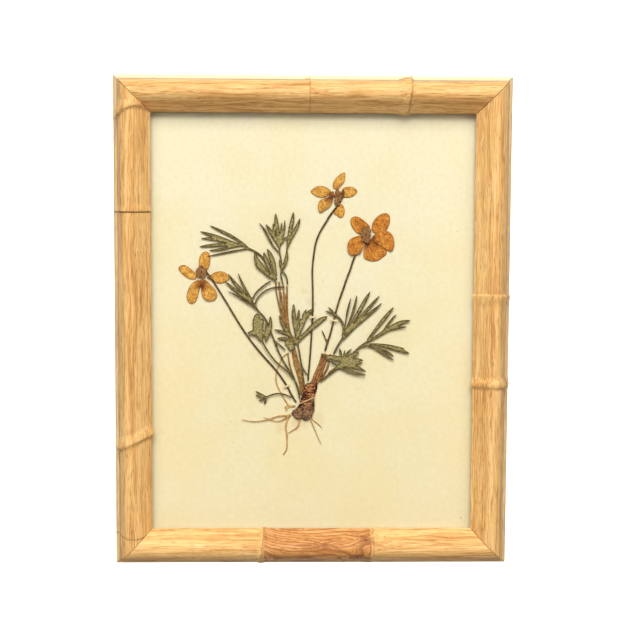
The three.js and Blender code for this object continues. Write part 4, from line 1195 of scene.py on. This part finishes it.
STEM_FULL = 0.65  # how far in from its margin a stem has its full thickness
STRANDS = {  # each with its width and the points it runs through
    "leaf_stalks": [
        (0.9, (-23.2, 26.8), (-23.2, 21), (-21.6, 13), (-19.8, 5), (-16.8, -3), (-14.4, -11), (-12.6, -20),
         (-10.3, -29), (-8, -38), (-6.8, -46)),
        (1.1, (-21.3, 26.6), (-20.6, 17), (-19.2, 7), (-16.8, -3), (-14, -12), (-12, -21), (-9.6, -30),
         (-7.2, -41)),
        (1.0, (-20.3, 20), (-19.3, 13), (-18, 5), (-16, -4), (-13.4, -13), (-11.2, -22), (-8.8, -31),
         (-6.8, -41.5)),
        (1.0, (-18.6, 24.5), (-18.1, 15), (-16.8, 3), (-14.6, -8), (-12, -18), (-9.6, -27), (-7.4, -36),
         (-6, -44)),
        (1.0, (-17.4, 19), (-17.2, 12), (-16.2, 3.5), (-14.2, -6.5), (-11.4, -17), (-9, -26.5), (-7, -35.5),
         (-5.7, -43.5)),
        (1.0, (-16.3, 24), (-16.2, 15), (-15.8, 4), (-14.4, -5), (-11.6, -15), (-8.8, -26), (-6.8, -35),
         (-5.4, -43)),
        (0.9, (-15.6, -19), (-14.6, -26), (-12.6, -32.6), (-9.6, -40), (-7.2, -46)),
        (1.2, (-12.8, -17), (-11.4, -26), (-8.4, -36), (-6.9, -43)),
        (1.2, (-11.8, -17), (-9.9, -26), (-7.2, -36), (-6.2, -43)),
    ],
    "rhizome_stem": [
        (1.7, (6.6, -19.4), (5.2, -24.8), (2.4, -32), (-0.6, -39.5)),
        (1.7, (8, -19.6), (6.8, -25), (4.2, -32.2), (1.2, -39.5)),
        (1.5, (9, -20.2), (8, -25.5), (5.6, -32.4), (2.8, -39.3)),
        (1.3, (7.2, -21), (6, -26), (3.3, -32.5), (0.3, -39.6)),
        (1.4, (10.6, -24.5), (9, -30), (4.5, -37.5)),
    ],
}


class PF_OT_stems(bpy.types.Operator):
    """Lays the flower stems, the rhizome's stem and the bundle of leaf stalks"""

    bl_idname = "pressed_flower.stems"
    bl_label = "Stems"

    def execute(self, context):
        look = context.scene.pf_specimen
        stem = dried_plant(
            "dry_stem", linear("#38230F"), look.stem, linear("#8A673C"), streak=2.4, fold=0.6, roughness=0.62
        )
        stalk = dried_plant(
            "dry_stalk", linear("#543414"), linear("#986C36"), linear("#C89C60"),
            streak=1.4, fold=0.5, roughness=0.66,
        )
        red = dried_plant(
            "rhizome_skin", linear("#4E2812"), linear("#905C30"), linear("#C89862"),
            streak=1.2, fold=0.7, roughness=0.7,
        )

        def relief(points, margin):
            arch = np.sqrt(np.clip(margin / STEM_FULL, 0, 1)) * 0.12
            return arch + wrinkles(1.5, 0.1, 2.0)(points, margin)

        for node in ("stem_left_flower", "stem_top_flower", "stem_right_flower"):
            mesh, _ = pressed_mesh(node, 0.3, full_at=STEM_FULL, relief=relief, drawn_in=STEM_DRAWN_IN)
            place_piece(node + "_pressed", mesh, stem, "dried_stem", node)
        for node, finish, slot in (("leaf_stalks", stalk, "dried_stem"), ("rhizome_stem", red, "rootstock")):
            place_piece(node + "_strands", strand_mesh(node, STRANDS[node]), finish, slot, node)
        return {"FINISHED"}


class PF_OT_roots(bpy.types.Operator):
    """Lays the roots and the runner"""

    bl_idname = "pressed_flower.roots"
    bl_label = "Roots"

    def execute(self, context):
        root = dried_plant(
            "dry_root", linear("#8A5C2C"), linear("#BE9054"), linear("#E2BE88"),
            streak=1.2, fold=0.4, roughness=0.8,
        )
        skin = wrinkles(size=1.2, height=0.12, seed=4.0)
        for node in sorted(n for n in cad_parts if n.startswith("root_") or n == "runner"):
            mesh, _ = pressed_mesh(node, spacing=0.26, full_at=0.5, relief=skin, drawn_in=ROOT_DRAWN_IN)
            place_piece(node + "_pressed", mesh, root, "dried_root", node)
        return {"FINISHED"}


def crown_mesh():
    """The crown's solid in a fine even mesh, raised in scales and lumps wherever it faces out."""
    rough = bpy.data.objects.new("crown_rough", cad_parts["crown"].data.copy())
    bpy.context.scene.collection.objects.link(rough)
    remesh = rough.modifiers.new("Remesh", "REMESH")
    remesh.mode = "VOXEL"
    remesh.voxel_size = 0.24 * MM
    mesh = bpy.data.meshes.new_from_object(rough.evaluated_get(bpy.context.evaluated_depsgraph_get()))
    bpy.data.objects.remove(rough)
    front = -SHEET_FRONT * MM
    co = np.array([v.co[:] for v in mesh.vertices])
    normals = np.array([v.normal[:] for v in mesh.vertices])
    push = []
    for point in co / MM:
        scales = abs(math.sin(point[2] * 1.5 + 1.6 * noise.noise(Vector(point) * 0.35)))
        lumps = noise.fractal(Vector(point) * 0.9, 0.8, 2.0, 4)
        push.append((0.45 * lumps + 0.22 * scales - 0.2) * MM)
    facing = np.clip((front - co[:, 1]) / (0.5 * MM), 0, 1)
    co += normals * (np.array(push) * facing)[:, None]
    co[:, 1] = np.minimum(co[:, 1], front - 0.1 * MM)
    mesh.vertices.foreach_set("co", co.ravel())
    proud = (front - co[:, 1]) / MM
    # Lower points count as near the margin, so the finish paints shade into the crown's hollows and towards
    # the sheet
    point_values(mesh, "margin", np.clip(proud / 2.4, 0, 1) + np.array(push) / MM)
    mesh.shade_smooth()
    return mesh


class PF_OT_crown(bpy.types.Operator):
    """Builds the crown's knobbly scales"""

    bl_idname = "pressed_flower.crown"
    bl_label = "Crown"

    def execute(self, context):
        low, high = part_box("crown")
        soil = "#6E604C", (0.55 * high.z + 0.45 * low.z) / MM, (0.15 * high.z + 0.85 * low.z) / MM
        bark = dried_plant(
            "rootstock_bark", linear("#2C120A"), linear("#7C4526"), linear("#BC8250"),
            streak=1.5, fold=1.1, roughness=0.75, earthy=soil, share=0.35, spread=0.15,
        )
        place_piece("crown_scaly", crown_mesh(), bark, "rootstock", "crown")
        return {"FINISHED"}


class PF_OT_straps(bpy.types.Operator):
    """Gums the paper straps over the specimen"""

    bl_idname = "pressed_flower.straps"
    bl_label = "Straps"

    def execute(self, context):
        gummed = dried_plant(
            "gummed_paper", linear("#D0AE78"), linear("#E2C896"), linear("#F0DEB4"),
            streak=1.5, fold=0.3, roughness=0.9,
        )
        creases = wrinkles(size=2.0, height=0.08, seed=1.0)
        for node in sorted(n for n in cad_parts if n.startswith("strap_")):
            drawn_in = CROWN_STRAP_DRAWN_IN if node == "strap_crown" else 0.0
            mesh, _ = pressed_mesh(node, spacing=0.3, full_at=0.25, relief=creases, drawn_in=drawn_in)
            place_piece(node + "_paper", mesh, gummed, "strap_paper", node)
        return {"FINISHED"}


# ---- stage --------------------------------------------------------------------------------------------

CAMERA_AT = Vector((-0.0219, -0.9073, -0.0586))
CAMERA_YAW, CAMERA_PITCH, CAMERA_ROLL = 1.69, 5.15, 0.304  # degrees, to the right, down, clockwise
FLOOR_Z, FLOOR_REACH = -1.3, 0.8
BACKDROP_Y, BACKDROP_REACH = 1.35, 4.0
KEY_ASIDE, KEY_ABOVE, KEY_SIZE = -2, 41, 1.7  # degrees to the right and up from straight in front, metres
SIDE_ASIDE, SIDE_ABOVE, SIDE_SIZE = 38, 8, 1.2
LIGHTS_AWAY = 3.0  # metres from the middle of the frame


def add_plane(name, corners, material):
    """A flat surface of the studio."""
    mesh = bpy.data.meshes.new(name)
    mesh.from_pydata(corners, [], [range(len(corners))])
    mesh.materials.append(material)
    plane = bpy.data.objects.new(name, mesh)
    bpy.context.scene.collection.objects.link(plane)


def add_light(name, aside, above, size, power):
    """A square softbox that faces the middle of the frame."""
    light = bpy.data.lights.new(name, "AREA")
    light.size = size
    light.energy = power
    lamp = bpy.data.objects.new(name, light)
    target = Vector((0, 0, CENTRE_Z * MM))
    aside, above = math.radians(aside), math.radians(above)
    towards = Vector((math.sin(aside) * math.cos(above), -math.cos(aside) * math.cos(above), math.sin(above)))
    lamp.location = target + towards * LIGHTS_AWAY
    lamp.rotation_euler = towards.to_track_quat("Z", "Y").to_euler()
    bpy.context.scene.collection.objects.link(lamp)


def dim_room(strength):
    """A room with an even ceiling and walls, dark towards the floor."""
    world = bpy.data.worlds.new("room")
    world.use_nodes = True
    room = world.node_tree
    room.nodes.clear()
    place = add(room, "ShaderNodeTexCoord", out="Generated")
    height = add(room, "ShaderNodeSeparateXYZ", {0: place}, out="Z")
    dusk = add(room, "ShaderNodeMapRange", {0: height, 1: -0.5, 2: 0.25, 4: strength})
    sky = add(room, "ShaderNodeBackground", {"Color": linear("#FFFFFF"), "Strength": dusk})
    add(room, "ShaderNodeOutputWorld", {"Surface": sky})
    return world


def add_camera(lens):
    """A camera at its place, turned by its yaw, pitch and roll."""
    yaw, pitch, roll = (math.radians(a) for a in (CAMERA_YAW, CAMERA_PITCH, CAMERA_ROLL))
    ahead = Vector((math.sin(yaw) * math.cos(pitch), math.cos(yaw) * math.cos(pitch), -math.sin(pitch)))
    level = Vector((math.cos(yaw), -math.sin(yaw), 0))
    upright = level.cross(ahead)
    right = level * math.cos(roll) + upright * math.sin(roll)
    up = upright * math.cos(roll) - level * math.sin(roll)
    data = bpy.data.cameras.new("camera")
    data.sensor_width = 36
    data.lens = lens
    camera = bpy.data.objects.new("camera", data)
    turned = Matrix((right, up, -ahead)).transposed().to_4x4()
    camera.matrix_world = Matrix.Translation(CAMERA_AT) @ turned
    bpy.context.scene.collection.objects.link(camera)
    return camera


class PF_OT_stage(bpy.types.Operator):
    """Sets the floor, backdrop, lights and camera"""

    bl_idname = "pressed_flower.stage"
    bl_label = "Stage"

    def execute(self, context):
        scene = context.scene
        look = scene.pf_stage
        floor = plain_stage("stage_floor", "#D8D5CF", 0.0)
        white = plain_stage("stage_backdrop", "#FFFFFF", 1.0)
        far, low, r = BACKDROP_Y, FLOOR_Z, FLOOR_REACH
        add_plane("floor", [(-r, -r, low), (r, -r, low), (r, far, low), (-r, far, low)], floor)
        r = BACKDROP_REACH
        add_plane("backdrop", [(-r, far, low), (r, far, low), (r, far, r), (-r, far, r)], white)
        scene.world = dim_room(look.sky)
        add_light("key", KEY_ASIDE, KEY_ABOVE, KEY_SIZE, look.key_power)
        for side in (-1, 1):
            add_light("side", side * SIDE_ASIDE, SIDE_ABOVE, SIDE_SIZE, look.side_power)
        scene.view_settings.view_transform = "Standard"
        scene.camera = add_camera(look.lens)
        return {"FINISHED"}


# ---- add-on -------------------------------------------------------------------------------------------

SETTINGS = {
    "pf_moulding": MouldingSettings,
    "pf_specimen": SpecimenSettings,
    "pf_sheet": SheetSettings,
    "pf_stage": StageSettings,
}
OPERATORS = [
    PF_OT_moulding, PF_OT_glass, PF_OT_sheet, PF_OT_backing, PF_OT_fixings, PF_OT_petals, PF_OT_calyxes,
    PF_OT_leaves, PF_OT_stems, PF_OT_roots, PF_OT_crown, PF_OT_straps, PF_OT_stage,
]


class PF_PT_panel(bpy.types.Panel):
    """Lists the pieces of the pressed flower frame and their settings"""

    bl_label = "Pressed Flower Frame"
    bl_idname = "PF_PT_panel"
    bl_space_type = "VIEW_3D"
    bl_region_type = "UI"
    bl_category = "Pressed Flower"

    def draw(self, context):
        for operator in OPERATORS:
            self.layout.operator(operator.bl_idname)
        for name in SETTINGS:
            for setting in getattr(context.scene, name).__annotations__:
                self.layout.prop(getattr(context.scene, name), setting)


def register():
    for name, group in SETTINGS.items():
        bpy.utils.register_class(group)
        setattr(bpy.types.Scene, name, PointerProperty(type=group))
    for operator in OPERATORS:
        bpy.utils.register_class(operator)
    bpy.utils.register_class(PF_PT_panel)


def unregister():
    bpy.utils.unregister_class(PF_PT_panel)
    for operator in reversed(OPERATORS):
        bpy.utils.unregister_class(operator)
    for name, group in SETTINGS.items():
        delattr(bpy.types.Scene, name)
        bpy.utils.unregister_class(group)


def main():
    """Builds every piece and the stage."""
    register()
    for operator in OPERATORS:
        group, action = operator.bl_idname.split(".")
        getattr(getattr(bpy.ops, group), action)()


if __name__ == "__main__":
    main()
